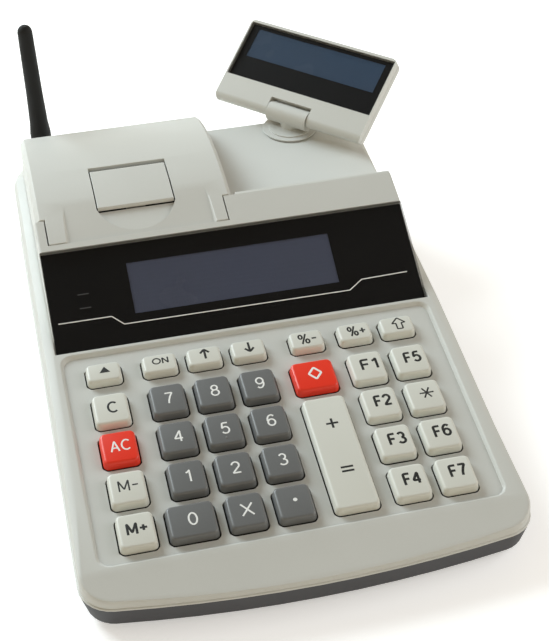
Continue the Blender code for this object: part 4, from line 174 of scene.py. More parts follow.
class RegisterStage(bpy.types.PropertyGroup):
    """Light and floor."""
    low: amount(1.02, "Low surround", "Strength of the surround near the horizon")
    high: amount(0.13, "High surround", "Strength of the surround overhead")
    surround: colour((1.0, 0.86, 0.64), "Surround", "Colour of the light that the room sends back")
    window_lamp: amount(32.0, "Window light", "Power of the large lamp behind on the left")
    fill_lamp: amount(6.0, "Fill light", "Power of the lamp on the right")
    floor: colour((0.92, 0.92, 0.92), "Floor", "Colour of the floor")
    glow: amount(0.43, "Floor glow", "How far the floor shines by itself where it is seen")


# Node helpers
def feed(target, value):
    """Gives an input a plain value, or joins it to another node's output."""
    if isinstance(value, bpy.types.NodeSocket):
        target.id_data.links.new(value, target)
    else:
        target.default_value = (*value, 1.0) if target.type == "RGBA" else value


def fill(made, **values):
    """Feeds a node's inputs by their names, with _ for a space."""
    for key, value in values.items():
        feed(made.inputs[key.replace("_", " ")], value)


def node(tree, kind, **values):
    """A node with its settings and its inputs, by their names with _ for a space."""
    made = tree.nodes.new(kind)
    for key, value in values.items():
        if key.replace("_", " ") in made.inputs:
            fill(made, **{key: value})
        else:
            setattr(made, key, value)
    return made


def math_node(tree, operation, first, second, clamp=False):
    made = node(tree, "ShaderNodeMath", operation=operation, use_clamp=clamp)
    feed(made.inputs[0], first)
    feed(made.inputs[1], second)
    return made.outputs[0]


def times(tree, first, second, clamp=False):
    return math_node(tree, "MULTIPLY", first, second, clamp)


def spread(tree, value, low, high, to_low, to_high):
    """A value carried from one range to another, held at its ends."""
    ends = {"From_Min": low, "From_Max": high, "To_Min": to_low, "To_Max": to_high}
    return node(tree, "ShaderNodeMapRange", Value=value, **ends).outputs["Result"]


def blend_colours(tree, factor, first, second):
    """Two colours mixed, with the factor as the share of the second."""
    made = node(tree, "ShaderNodeMix", data_type="RGBA")
    for place, value in ((0, factor), (6, first), (7, second)):
        feed(made.inputs[place], value)
    return made.outputs[2]


def place_node(tree, scale=(1.0, 1.0, 1.0)):
    """Object coordinates, stretched where a pattern has a direction."""
    coordinates = node(tree, "ShaderNodeTexCoord")
    return node(tree, "ShaderNodeMapping", Vector=coordinates.outputs["Object"], Scale=scale).outputs["Vector"]


def noise(tree, where, scale, detail=3.0, roughness=0.5):
    made = node(tree, "ShaderNodeTexNoise", Vector=where, Scale=scale, Detail=detail, Roughness=roughness)
    return made.outputs["Fac"]


def bump(tree, height, strength, distance):
    return node(tree, "ShaderNodeBump", Strength=strength, Distance=distance, Height=height).outputs["Normal"]


def new_group(name, inputs, outputs):
    """An empty node group with named sockets: the one called Colour is a colour, the others are numbers."""
    tree = bpy.data.node_groups.new(name, "ShaderNodeTree")
    for way, titles in (("INPUT", inputs), ("OUTPUT", outputs)):
        for title in titles:
            kind = "NodeSocketColor" if title == "Colour" else "NodeSocketFloat"
            socket = tree.interface.new_socket(name=title, in_out=way, socket_type=kind)
            if way == "INPUT":
                socket.default_value = inputs[title]
    return tree, tree.nodes.new("NodeGroupInput").outputs, tree.nodes.new("NodeGroupOutput")


def grain_group():
    """Moulded grain: the fine spark texture of a moulded face, with a slow drift of colour and gloss."""
    inputs = {"Colour": (0.5, 0.5, 0.5, 1.0), "Gloss": 0.5, "Grain size": 1600.0, "Drift": 0.03}
    tree, given, out = new_group("Moulded grain", inputs, ("Colour", "Roughness", "Height"))
    where = place_node(tree)
    fine = noise(tree, where, given["Grain size"])
    slow = math_node(tree, "SUBTRACT", noise(tree, where, 22.0), 0.5)
    drift = times(tree, times(tree, given["Drift"], slow), 4.0)
    speck = times(tree, math_node(tree, "SUBTRACT", fine, 0.5), given["Drift"])
    factor = math_node(tree, "ADD", 1.0, math_node(tree, "ADD", drift, speck))
    tint = node(tree, "ShaderNodeVectorMath", operation="SCALE", Scale=factor)
    feed(tint.inputs[0], given["Colour"])
    gloss = math_node(tree, "ADD", given["Gloss"], times(tree, slow, 0.16))
    rough = math_node(tree, "ADD", gloss, times(tree, fine, 0.05))
    fill(out, Colour=tint.outputs[0], Roughness=rough, Height=fine)


def wear_and_highlight_group():
    """Edge wear and highlight: a mask of the rounded edges that hands have polished and that catch the light, broken
    up along their length; what it lightens is partly wear and partly painted highlight.
    """
    tree, given, out = new_group("Edge wear and highlight", {"Radius": 0.6 * MM, "Strength": 1.0}, ("Mask",))
    dot = node(tree, "ShaderNodeVectorMath", operation="DOT_PRODUCT")
    feed(dot.inputs[0], node(tree, "ShaderNodeBevel", samples=4, Radius=given["Radius"]).outputs["Normal"])
    feed(dot.inputs[1], node(tree, "ShaderNodeNewGeometry").outputs["Normal"])
    edge = spread(tree, dot.outputs["Value"], 0.995, 0.93, 0.0, 1.0)
    broken = spread(tree, noise(tree, place_node(tree), 260.0), 0.35, 0.62, 0.35, 1.0)
    fill(out, Mask=times(tree, times(tree, edge, broken), given["Strength"], clamp=True))


def dust_group():
    """Dust: thin specks that settle on faces that look up."""
    tree, given, out = new_group("Dust", {"Amount": 0.1, "Speck size": 900.0}, ("Mask",))
    up = node(tree, "ShaderNodeSeparateXYZ", Vector=node(tree, "ShaderNodeNewGeometry").outputs["Normal"])
    specks = noise(tree, place_node(tree), given["Speck size"], 4.0)
    lying = spread(tree, up.outputs["Z"], 0.2, 0.95, 0.0, 1.0)
    level = times(tree, lying, spread(tree, specks, 0.48, 0.75, 0.15, 1.0))
    fill(out, Mask=times(tree, level, given["Amount"], clamp=True))


def group_node(tree, name, **values):
    return node(tree, "ShaderNodeGroup", node_tree=bpy.data.node_groups[name], **values)


def start_material(name, **values):
    """A new material's tree and its shader, with plain values on the shader's own sockets."""
    material = bpy.data.materials.new(name)
    material.use_nodes = True
    shader = material.node_tree.nodes["Principled BSDF"]
    fill(shader, **values)
    return material.node_tree, shader


def moulded(name, base, gloss, drift, wear_and_highlight, grain=1600.0, depth=0.02 * MM, polish=0.35, dust=0.0, radius=0.6 * MM):
    """Moulded plastic: grain, edges polished by use and lightened as partly wear and partly painted highlight, and a
    little dust where it lies.
    """
    tree, shader = start_material(name)
    surface = group_node(tree, "Moulded grain", Colour=base, Gloss=gloss, Grain_size=grain, Drift=drift).outputs
    edge = group_node(tree, "Edge wear and highlight", Radius=radius, Strength=1.0).outputs["Mask"]
    # The rounded edges are lightened towards pale grey: partly wear, partly a painted highlight where the edges catch
    # the light.
    tint = blend_colours(tree, times(tree, edge, wear_and_highlight), surface["Colour"], (0.9, 0.9, 0.88))
    if dust:
        settled = group_node(tree, "Dust", Amount=dust, Speck_size=900.0)
        tint = blend_colours(tree, settled.outputs["Mask"], tint, (0.45, 0.44, 0.41))
    rough = math_node(tree, "SUBTRACT", surface["Roughness"], times(tree, edge, polish * gloss), clamp=True)
    fill(shader, Base_Color=tint, Roughness=rough, Normal=bump(tree, surface["Height"], 0.35, depth))


def smoked_acrylic(name, tint, alpha):
    """Smoked sheet: see-through in part, with faint wiping marks in its gloss."""
    tree, shader = start_material(name, IOR=1.52, Alpha=alpha)
    marks = noise(tree, place_node(tree, (1.0, 6.0, 1.0)), 40.0, 5.0, 0.65)
    wiped = blend_colours(tree, spread(tree, marks, 0.5, 0.8, 0.0, 0.25), tint, (0.02, 0.02, 0.022))
    fill(shader, Base_Color=wiped, Roughness=spread(tree, marks, 0.35, 0.75, 0.06, 0.16))


def display_glass(name, tint, cell, contrast):
    """Display glass: a sheet over rows of character cells that are switched off."""
    tree, shader = start_material(name, Roughness=0.22)
    where = place_node(tree)
    cells = node(
        tree, "ShaderNodeTexBrick", offset=0.0, Vector=where, Scale=1.0, Brick_Width=cell, Row_Height=cell * 1.6,
        Mortar_Size=cell * 0.12, Mortar_Smooth=0.3
    )
    cloud = noise(tree, where, 30.0)
    plain = blend_colours(tree, cells.outputs["Fac"], tint, [min(1.0, channel * (1.0 + contrast)) for channel in tint])
    hazy = blend_colours(tree, spread(tree, cloud, 0.3, 0.7, 0.0, 0.12), plain, (0.30, 0.32, 0.36))
    fill(shader, Base_Color=hazy, Roughness=spread(tree, cloud, 0.3, 0.7, 0.18, 0.30))


def printed_ink(name, tint, gloss=0.45):
    """Screen print: a thin film that is a little uneven."""
    tree, shader = start_material(name, Roughness=gloss)
    film = noise(tree, place_node(tree), 1800.0)
    thin = [channel * 0.8 + 0.03 for channel in tint]
    rough = spread(tree, film, 0.3, 0.7, gloss - 0.06, gloss + 0.08)
    uneven = blend_colours(tree, spread(tree, film, 0.45, 0.75, 0.0, 0.18), tint, thin)
    fill(shader, Base_Color=uneven, Roughness=rough, Normal=bump(tree, film, 0.2, 0.01 * MM))


def circuit_board(name, tint):
    """Solder mask over copper tracks, with tinned pads."""
    tree, shader = start_material(name, Roughness=0.35)
    where = place_node(tree)
    tracks = node(
        tree, "ShaderNodeTexBrick", offset=0.5, Vector=where, Scale=1.0, Brick_Width=5.2 * MM, Row_Height=1.3 * MM,
        Mortar_Size=0.2 * MM
    ).outputs["Fac"]
    pads = node(tree, "ShaderNodeTexVoronoi", feature="F1", Vector=where, Scale=300.0)
    pad = spread(tree, pads.outputs["Distance"], 0.16, 0.13, 0.0, 1.0)
    mask = blend_colours(tree, tracks, tint, [min(1.0, channel * 1.9 + 0.01) for channel in tint])
    tinned = blend_colours(tree, pad, mask, (0.62, 0.62, 0.60))
    fill(shader, Base_Color=tinned, Metallic=times(tree, pad, 0.9), Normal=bump(tree, tracks, 0.4, 0.05 * MM))


def metal(name, tint, gloss, stretch=(1.0, 14.0, 14.0), grain=260.0):
    """Metal with fine lines along one direction and a little dulling."""
    tree, shader = start_material(name, Roughness=gloss, Metallic=1.0)
    lines = noise(tree, place_node(tree, stretch), grain, 5.0, 0.6)
    dull = spread(tree, noise(tree, place_node(tree), 60.0), 0.45, 0.75, 0.0, 0.35)
    rough = spread(tree, lines, 0.3, 0.7, max(0.05, gloss - 0.10), gloss + 0.12)
    worn = blend_colours(tree, dull, tint, [channel * 0.6 for channel in tint])
    fill(shader, Base_Color=worn, Roughness=rough, Normal=bump(tree, lines, 0.25, 0.02 * MM))


def rubber(name, tint, gloss, dust=0.12, stretch=(1.0, 1.0, 1.0), specular=0.5):
    """Soft black rubber with a bloom of dust."""
    tree, shader = start_material(name, Roughness=gloss, Specular_IOR_Level=specular)
    where = place_node(tree, stretch)
    slow = noise(tree, where, 90.0)
    settled = group_node(tree, "Dust", Amount=dust, Speck_size=700.0).outputs["Mask"]
    bloom = blend_colours(tree, spread(tree, slow, 0.4, 0.75, 0.0, 0.12), tint, (0.05, 0.05, 0.05))
    dusty = blend_colours(tree, settled, bloom, (0.30, 0.29, 0.27))
    rough = spread(tree, slow, 0.3, 0.7, gloss - 0.10, gloss + 0.12)
    fill(shader, Base_Color=dusty, Roughness=rough, Normal=bump(tree, noise(tree, where, 1400.0), 0.4, 0.04 * MM))


def shrink_film(name, tint):
    """Battery film, drawn tight with small wrinkles."""
    tree, shader = start_material(name, Roughness=0.3)
    wrinkles = noise(tree, place_node(tree, (0.4, 1.6, 1.0)), 160.0, 4.0)
    pale = [channel * 1.4 for channel in tint]
    drawn = blend_colours(tree, spread(tree, wrinkles, 0.4, 0.7, 0.0, 0.3), tint, pale)
    fill(shader, Base_Color=drawn, Normal=bump(tree, wrinkles, 0.5, 0.2 * MM))


def make_materials():
    """Every finish of the register, by a plain name."""
    tints = bpy.context.scene.register_colours
    grain_group()
    wear_and_highlight_group()
    dust_group()
    cap = {"grain": 2200.0, "radius": 0.9 * MM}
    # The fifth number is how far the rounded edges are lightened: partly wear, partly painted highlight.
    moulded("shell_plastic", tints.shell, 0.47, 0.022, 0.16, dust=0.05)
    moulded("base_plastic", tints.base, 0.55, 0.05, 0.05, dust=0.04)
    moulded("light_key_plastic", tints.light_key, 0.36, 0.016, 0.22, depth=0.008 * MM, **cap)
    moulded("dark_key_plastic", tints.dark_key, 0.40, 0.05, 0.12, depth=0.012 * MM, polish=0.45, dust=0.02, **cap)
    moulded("red_key_plastic", tints.red_key, 0.34, 0.03, 0.08, depth=0.008 * MM, **cap)
    # Plungers and the lower skirts of the caps: near-black, partly their own colour and partly painted shade in the
    # key gaps.
    moulded("plunger_plastic_and_gap_shade", tints.plunger_and_gap_shade, 0.6, 0.05, 0.0, grain=1200.0)
    moulded("chassis_plastic", tints.chassis, 0.5, 0.10, 0.06, grain=900.0, dust=0.10)
    moulded("gear_plastic", tints.gear, 0.38, 0.03, 0.10, grain=1200.0)
    moulded("mat_silicone", tints.silicone, 0.62, 0.05, 0.0, grain=1200.0)
    moulded("socket_plastic", (0.020, 0.020, 0.021), 0.42, 0.08, 0.08, grain=1200.0, dust=0.05)
    smoked_acrylic("window_acrylic", tints.smoke, 0.30)
    smoked_acrylic("head_acrylic", tints.smoke, 0.34)
    printed_ink("window_mask", tints.mask, 0.55)
    printed_ink("dark_legend", tints.dark_ink)
    printed_ink("light_legend", tints.light_ink)
    printed_ink("marker_print", (0.045, 0.045, 0.048))
    display_glass("operator_glass", tints.glass, 1.1 * MM, 0.10)
    display_glass("customer_glass", tints.head_glass, 1.0 * MM, 0.08)
    circuit_board("board_mask", tints.board)
    metal("plain_steel", (0.55, 0.55, 0.56), 0.34)
    metal("zinc_screw", (0.60, 0.60, 0.59), 0.30, (1.0, 1.0, 1.0), 500.0)
    metal("contact_gold", (0.80, 0.58, 0.24), 0.22)
    rubber("antenna_rubber", tints.rubber, 0.62, 0.02, specular=0.25)
    rubber("foot_rubber", tints.rubber, 0.70)
    rubber("roller_rubber", tints.rubber, 0.58, 0.18, (0.2, 1.0, 1.0))
    shrink_film("battery_film", tints.wrap)


# Mesh helpers
def only(items, kind):
    """The items of one kind, out of what a mesh operator gives back."""
    return [item for item in items if isinstance(item, kind)]


def sharp_edges(bm, angle):
    """Outward edges that bend by more than an angle in degrees."""
    edges = [edge for edge in bm.edges if len(edge.link_faces) == 2 and edge.is_convex]
    return [edge for edge in edges if edge.calc_face_angle(0.0) > math.radians(angle)]


def bevel(bm, geom, width, segments, affect="EDGES"):
    """Rounds edges, or the corners of a flat sheet."""
    return bmesh.ops.bevel(
        bm, geom=geom, offset=width, offset_type="OFFSET", segments=segments, profile=0.5, affect=affect,
        clamp_overlap=affect == "EDGES", material=-1
    )


def cut(bm, place, normal, **options):
    """Cuts a whole mesh along a plane."""
    whole = bm.verts[:] + bm.edges[:] + bm.faces[:]
    return bmesh.ops.bisect_plane(bm, geom=whole, plane_co=place, plane_no=normal, **options)


def new_piece(name, bm, finishes, body, replaced=(), matrix=None):
    """A finished mesh that rides on a body and takes the finishes it is given."""
    if matrix is not None:
        bmesh.ops.transform(bm, matrix=matrix, verts=bm.verts)
    mesh = bpy.data.meshes.new(name)
    bm.to_mesh(mesh)
    bm.free()
    mesh.shade_smooth()
    mesh.set_sharp_from_angle(angle=math.radians(30.0))
    piece = bpy.data.objects.new(name, mesh)
    bpy.context.scene.collection.objects.link(piece)
    for finish in [finishes] if isinstance(finishes, str) else finishes:
        mesh.materials.append(bpy.data.materials[finish])
    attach(piece, body)
    if replaced:
        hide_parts(*replaced)
    return piece


def body_of(node_name):
    return frame["nodes"][node_name]["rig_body"]


def slot_of(node_name):
    return next(row["material_slot"] for row in frame["record"]["subparts"] if row["node"] == node_name)


def islands(edges):
    """Edges in groups that hang together, so that each group is rounded as far as its own neighbours allow."""
    left, groups = set(edges), []
    while left:
        group, border = [], [left.pop()]
        while border:
            edge = border.pop()
            group.append(edge)
            near = {other for vert in edge.verts for other in vert.link_edges if other in left}
            left -= near
            border += near
        groups.append(sorted(group, key=lambda edge: edge.index))
    return sorted(groups, key=lambda group: group[0].index)


def refined(
    node_name, finishes, width=0.0, segments=2, angle=26.0, faces=None, fine=None, corners=None, plain_above=None
):
    """A copy of a CAD node with its outward edges rounded.

    faces(centre, normal) gives a face its finish's number; fine is (width, test) for edges that get a smaller
    rounding, and corners is (width, test) for inward corners that get one. Above the height plain_above,
    edges of faces that look down stay sharp.
    """
    bm = bmesh.new()
    bm.from_mesh(frame["nodes"][node_name].data)
    bmesh.ops.remove_doubles(bm, verts=bm.verts, dist=0.01 * MM)
    bmesh.ops.dissolve_limit(bm, angle_limit=math.radians(0.6), verts=bm.verts, edges=bm.edges)
    if corners:
        inward = [edge for edge in bm.edges if len(edge.link_faces) == 2 and not edge.is_convex and corners[1](edge)]
        bevel(bm, inward, corners[0], 3)
    if width:
        bm.edges.index_update()
        sharp = sharp_edges(bm, angle)
        if plain_above is not None:
            sharp = [
                edge for edge in sharp
                if edge.verts[0].co.z < plain_above or min(face.normal.z for face in edge.link_faces) > -0.3
            ]
        for group in islands(sharp):
            bevel(bm, group, fine[0] if fine and all(fine[1](edge) for edge in group) else width, segments)
    if faces:
        for face in bm.faces:
            face.material_index = faces(face.calc_center_median(), face.normal)
    piece = new_piece(node_name + "_finished", bm, finishes, body_of(node_name), (node_name,))
    weighted = piece.modifiers.new("Face weights", "WEIGHTED_NORMAL")
    weighted.keep_sharp = True


def tube(bm, points, radius, sides):
    """A round bar swept along a few points, built from a circle that is extruded."""
    turn = (points[1] - points[0]).to_track_quat("Z", "Y").to_matrix().to_4x4()
    place = Matrix.Translation(points[0]) @ turn
    ring = bmesh.ops.create_circle(bm, cap_ends=True, segments=sides, radius=radius, matrix=place)
    face = ring["verts"][0].link_faces[0]
    for first, second in zip(points, points[1:]):
        face = bmesh.ops.extrude_discrete_faces(bm, faces=[face])["faces"][0]
        bmesh.ops.translate(bm, vec=second - first, verts=list(face.verts))


def turned(bm, profile, steps):
    """A round part from its profile: (radius, height) points from the axis out and back to it, spun about Z."""
    verts = [bmesh.ops.create_vert(bm, co=(radius, 0.0, height))["vert"][0] for radius, height in profile]
    sides = [bmesh.ops.contextual_create(bm, geom=pair)["edges"][0] for pair in zip(verts, verts[1:])]
    bmesh.ops.spin(
        bm, geom=verts + sides, cent=(0.0, 0.0, 0.0), axis=(0.0, 0.0, 1.0), angle=2 * math.pi, steps=steps,
        use_merge=True
    )
    bmesh.ops.remove_doubles(bm, verts=bm.verts, dist=0.002 * MM)
    bmesh.ops.recalc_face_normals(bm, faces=bm.faces)


def arc(x, y, wide, tall, start, end, steps=12):
    """Points along part of an ellipse, between two angles in degrees."""
    turns = [math.radians(start + (end - start) * step / steps) for step in range(steps + 1)]
    return [(x + wide * math.cos(turn), y + tall * math.sin(turn)) for turn in turns]


def loop(x, y, wide, tall):
    """A closed ellipse."""
    return arc(x, y, wide, tall, 0.0, 360.0, 24)


# Strokes of each sign, in shares of its height. A stroke that ends where it starts is closed.
SIGN_SHARES = {
    "0": [loop(0.27, 0.5, 0.27, 0.46)],
    "1": [[(0.0, 0.76), (0.16, 0.82), (0.25, 0.97), (0.25, 0.0)]],
    "2": [arc(0.27, 0.70, 0.25, 0.26, 172.0, -30.0) + [(0.02, 0.05), (0.55, 0.05)]],
    "3": [arc(0.25, 0.73, 0.21, 0.23, 155.0, -88.0), arc(0.25, 0.27, 0.26, 0.24, 88.0, -155.0)],
    "4": [[(0.41, 0.0), (0.41, 0.94), (0.0, 0.28), (0.56, 0.28)]],
    "5": [[(0.48, 0.95), (0.11, 0.95), (0.05, 0.50)] + arc(0.26, 0.32, 0.26, 0.29, 128.0, -150.0)],
    "6": [loop(0.27, 0.31, 0.25, 0.28), arc(0.30, 0.52, 0.28, 0.44, 190.0, 48.0)],
    "7": [[(0.0, 0.95), (0.52, 0.95), (0.34, 0.62), (0.22, 0.28), (0.18, 0.0)]],
    "8": [loop(0.27, 0.74, 0.21, 0.21), loop(0.27, 0.28, 0.26, 0.25)],
    "9": [loop(0.27, 0.69, 0.25, 0.28), arc(0.24, 0.48, 0.28, 0.44, 10.0, -132.0)],
    "A": [[(0.0, 0.0), (0.31, 0.96), (0.62, 0.0)], [(0.12, 0.32), (0.50, 0.32)]],
    "C": [arc(0.36, 0.5, 0.35, 0.46, 48.0, 312.0, 18)],
    "F": [[(0.46, 0.95), (0.0, 0.95), (0.0, 0.0)], [(0.0, 0.50), (0.40, 0.50)]],
    "M": [[(0.0, 0.0), (0.0, 0.96), (0.31, 0.16), (0.62, 0.96), (0.62, 0.0)]],
    "N": [[(0.0, 0.0), (0.0, 0.96), (0.52, 0.04), (0.52, 1.0)]],
    "O": [loop(0.37, 0.5, 0.37, 0.46)],
    "%": [loop(0.16, 0.74, 0.14, 0.20), loop(0.66, 0.24, 0.14, 0.20), [(0.62, 1.0), (0.20, 0.0)]],
    "+": [[(0.0, 0.46), (0.50, 0.46)], [(0.25, 0.71), (0.25, 0.21)]],
    "-": [[(0.0, 0.46), (0.36, 0.46)]],
    "=": [[(0.0, 0.66), (0.80, 0.66)], [(0.0, 0.34), (0.80, 0.34)]],
    "plus": [[(0.0, 0.5), (1.0, 0.5)], [(0.5, 1.0), (0.5, 0.0)]],
    "times": [[(0.0, 0.0), (0.80, 1.0)], [(0.0, 1.0), (0.80, 0.0)]],
    "star": [arc(0.5, 0.5, 0.5, 0.5, turn, turn + 180.0, 1) for turn in (0.0, 60.0, 120.0)],
    "diamond": [[(0.42, 0.0), (0.84, 0.5), (0.42, 1.0), (0.0, 0.5), (0.42, 0.0)]],
    "up": [[(0.36, 0.0), (0.36, 0.97)], [(0.0, 0.62), (0.36, 1.0), (0.72, 0.62)]],
    "down": [[(0.36, 1.0), (0.36, 0.03)], [(0.0, 0.38), (0.36, 0.0), (0.72, 0.38)]],
    "shift": [
        [(0.27, 0.0), (0.65, 0.0), (0.65, 0.52), (0.92, 0.52), (0.46, 1.0), (0.0, 0.52), (0.27, 0.52), (0.27, 0.0)]
    ],
}
LETTER_GAP_SHARE = 0.22


def lettering(signs, height, width=None):
    """Strokes of a row of signs, centred, in metres; a width draws them narrower or wider."""
    rows, pen = [], 0.0
    for sign in signs:
        strokes = SIGN_SHARES[sign]
        rows += [[(pen + x, y - 0.5) for x, y in points] for points in strokes]
        pen += max(x for points in strokes for x, y in points) + LETTER_GAP_SHARE
    pen -= LETTER_GAP_SHARE
    stretch = width / pen if width else height
    return [[Vector(((x - pen / 2) * stretch, y * height)) for x, y in points] for points in rows]


def soften(points, closed, reach):
    """A stroke's sharp corners turned into short curves."""
    soft, count = [], len(points)
    for place, corner in enumerate(points):
        before, after = points[place - 1] - corner, points[(place + 1) % count] - corner
        at_end = not closed and place in (0, count - 1)
        if at_end or math.pi - before.angle(after) < math.radians(35.0):
            soft.append(corner)
            continue
        first = corner + before * min(0.4, reach / before.length)
        last = corner + after * min(0.4, reach / after.length)
        for share in (0.0, 0.25, 0.5, 0.75, 1.0):
            soft.append(first.lerp(corner, share).lerp(corner.lerp(last, share), share))
    return soft


def stroke_mesh(strokes, width):
    """Drawn signs: strokes of one width, each a closed bar pressed flat to the thickness of a print."""
    curve = bpy.data.curves.new("sign", "CURVE")
    curve.dimensions = "3D"
    curve.bevel_depth = width / 2
    curve.bevel_resolution = 2
    curve.use_fill_caps = True
    for points in strokes:
        closed = (points[0] - points[-1]).length < 0.001 * MM
        points = soften(points[:-1] if closed else points, closed, 0.6 * width)
        spline = curve.splines.new("POLY")
        spline.points.add(len(points) - 1)
        for place, point in zip(spline.points, points):
            place.co = (point.x, point.y, 0.0, 1.0)
        spline.use_cyclic_u = closed
    holder = bpy.data.objects.new("sign", curve)
    bpy.context.scene.collection.objects.link(holder)
    bpy.context.view_layer.update()
    mesh = bpy.data.meshes.new_from_object(holder.evaluated_get(bpy.context.evaluated_depsgraph_get()))
    bpy.data.objects.remove(holder)
    bm = bmesh.new()
    bm.from_mesh(mesh)
    bpy.data.meshes.remove(mesh)
    bmesh.ops.remove_doubles(bm, verts=bm.verts, dist=0.001 * MM)
    bmesh.ops.recalc_face_normals(bm, faces=bm.faces)
    ink = bpy.context.scene.register_legends.ink
    bmesh.ops.scale(bm, vec=(1.0, 1.0, 2 * ink / width), verts=bm.verts)
    return bm


def raise_film(bm, low, high):
    """A flat film gets closed sides and lies between two heights."""
    bmesh.ops.recalc_face_normals(bm, faces=bm.faces)
    bmesh.ops.solidify(bm, geom=list(bm.faces), thickness=1.0 * MM)
    heights = [vert.co.z for vert in bm.verts]
    middle = (min(heights) + max(heights)) / 2
    for vert in bm.verts:
        vert.co.z = high if vert.co.z > middle else low
    bmesh.ops.recalc_face_normals(bm, faces=bm.faces)
    return bm


class RegisterOperator(bpy.types.Operator):
    """Makes one group of the register's pieces"""
    bl_options = {"REGISTER", "UNDO"}

    def execute(self, context):
        self.make(context.scene)
        return {"FINISHED"}


class REGISTER_OT_case(RegisterOperator):
    """Rounds and finishes the two halves of the case"""
    bl_idname = "register.case"
    bl_label = "Case shells"

    def make(self, scene):
        edges = scene.register_edges
        turn = TRAY.inverted()

        def in_hole(edge):
            """Edges of the key holes, between the tray's floor and the shell's inner face."""
            return all(
                -2.6 * MM < point.z < 0.15 * MM and abs(point.x) < 68.0 * MM and -60.0 * MM < point.y < 34.0 * MM
                for point in (turn @ vert.co for vert in edge.verts)
            )

        def hole_corner(edge):
            """Upright edges of the key holes."""
            reach = (turn @ edge.verts[0].co) - (turn @ edge.verts[1].co)
            return in_hole(edge) and abs(reach.z) > 1.5 * MM and math.hypot(reach.x, reach.y) < 0.1 * MM
        refined(
            "upper_case", "shell_plastic", edges.shell, 3, fine=(edges.hole_rim, in_hole),
            corners=(edges.hole, hole_corner), plain_above=11.5 * MM
        )
        refined("lower_case", "base_plastic", edges.base, 2)


class REGISTER_OT_lid(RegisterOperator):
    """Rounds and finishes the printer lid and its latch"""
    bl_idname = "register.lid"
    bl_label = "Printer lid"

    def make(self, scene):
        edges = scene.register_edges
        refined("printer_lid", "shell_plastic", edges.lid, 3)
        refined("lid_latch", "shell_plastic", edges.fine * 2, 2)


class REGISTER_OT_printer(RegisterOperator):
    """Finishes the printer under the lid: chassis, roller, gears, motor and print head"""
    bl_idname = "register.printer"
    bl_label = "Printer"

    def make(self, scene):
        fine = scene.register_edges.fine
        refined("printer_frame", "chassis_plastic", fine, 2)
        low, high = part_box("platen_roller")
        middle = (low + high) / 2
        shaft = 3.0 * MM

        def roller_faces(centre, normal):
            return 0 if math.hypot(centre.y - middle.y, centre.z - middle.z) > shaft else 1
        refined("platen_roller", ("roller_rubber", "plain_steel"), fine, 2, 50.0, roller_faces)
        for name in ("idler_gear", "motor_pinion"):
            refined(name, "gear_plastic", fine, 1, 50.0)
        for name in ("stepper_motor", "thermal_head"):
            refined(name, "plain_steel", fine, 2, 40.0)


def key_names():
    names = [row["node"] for row in frame["record"]["subparts"]]
    return [name for name in names if name.startswith("key_") and name != "key_mat"]


def key_place(key):
    """A key cap's middle, width and depth where it leaves the shell, in the tray's plane."""
    turn = TRAY.inverted()
    points = [turn @ vert.co for vert in frame["nodes"][key].data.vertices]
    level = [point for point in points if abs(point.z) < 0.05 * MM]
    xs, ys = [point.x for point in level], [point.y for point in level]
    return (min(xs) + max(xs)) / 2, (min(ys) + max(ys)) / 2, max(xs) - min(xs), max(ys) - min(ys)


def rounded_block(bm, width, depth, corner, heights, draft=0.0, edge=0.0):
    """A block with round corners through some heights, drawn in at its top, with a round top edge."""
    plate = bmesh.ops.create_grid(bm, x_segments=1, y_segments=1, size=0.5)["verts"]
    bmesh.ops.scale(bm, vec=(width, depth, 1.0), verts=plate)
    bmesh.ops.translate(bm, vec=(0.0, 0.0, heights[0]), verts=plate)
    rounded = bevel(bm, plate, corner, 5, "VERTICES")
    floor = max({face for vert in rounded["verts"] for face in vert.link_faces}, key=lambda face: face.calc_area())
    top = floor
    for low, high in zip(heights, heights[1:]):
        lifted = bmesh.ops.extrude_face_region(bm, geom=[top])["geom"]
        verts = only(lifted, BMVert)
        if top is not floor:
            bmesh.ops.delete(bm, geom=[top], context="FACES_ONLY")
        bmesh.ops.translate(bm, vec=(0.0, 0.0, high - low), verts=verts)
        if high == heights[-1]:
            bmesh.ops.scale(bm, vec=(1.0 - 2 * draft / width, 1.0 - 2 * draft / depth, 1.0), verts=verts)
        top = only(lifted, BMFace)[0]
    if edge:
        bevel(bm, list(top.edges), edge, 4)


class REGISTER_OT_keys(RegisterOperator):
    """Builds every key: a cap with round edges on a near-black plunger that the shell holds down; the plunger and the
    cap's skirt down in its hole are dark partly as the plunger's own colour and partly as painted shade in the gap
    round the cap
    """
    bl_idname = "register.keys"
    bl_label = "Keys"

    def make(self, scene):
        edges = scene.register_edges
        for key in key_names():
            x, y, width, depth = key_place(key)
            bm = bmesh.new()
            rounded_block(bm, width, depth, edges.key_corner, (KEY_FOOT, 0.0, KEY_TOP), edges.key_draft, edges.key)
            caps = set(bm.faces)
            rim, stem = 1.6 * MM, 6.0 * MM
            flange = KEY_FOOT - 1.0 * MM
            rounded_block(bm, width + rim, depth + rim, edges.key_corner, (flange, KEY_FOOT))
            rounded_block(bm, stem, min(stem, depth - 1.0 * MM), 0.7 * MM, (flange - 0.8 * MM, flange))
            # Cap faces below the hole's rim take the plunger's near-black: painted shade in the gap round the cap.
            for face in bm.faces:
                face.material_index = 0 if face in caps and face.calc_center_median().z > -0.6 * MM else 1
            bmesh.ops.recalc_face_normals(bm, faces=bm.faces)
            finishes = (slot_of(key) + "_plastic", "plunger_plastic_and_gap_shade")
            place = TRAY @ Matrix.Translation((x, y, 0.0))
            new_piece(key + "_finished", bm, finishes, body_of(key), (key,), place)
        x, y = key_place("key_5")[:2]
        bm = bmesh.new()
        bmesh.ops.create_uvsphere(bm, u_segments=16, v_segments=8, radius=0.42 * MM)
        bmesh.ops.scale(bm, vec=(1.0, 1.0, 0.6), verts=bm.verts)
        place = TRAY @ Matrix.Translation((x, y - 4.3 * MM, KEY_TOP))
        new_piece("centre_key_pip", bm, "dark_key_plastic", body_of("key_5"), (), place)


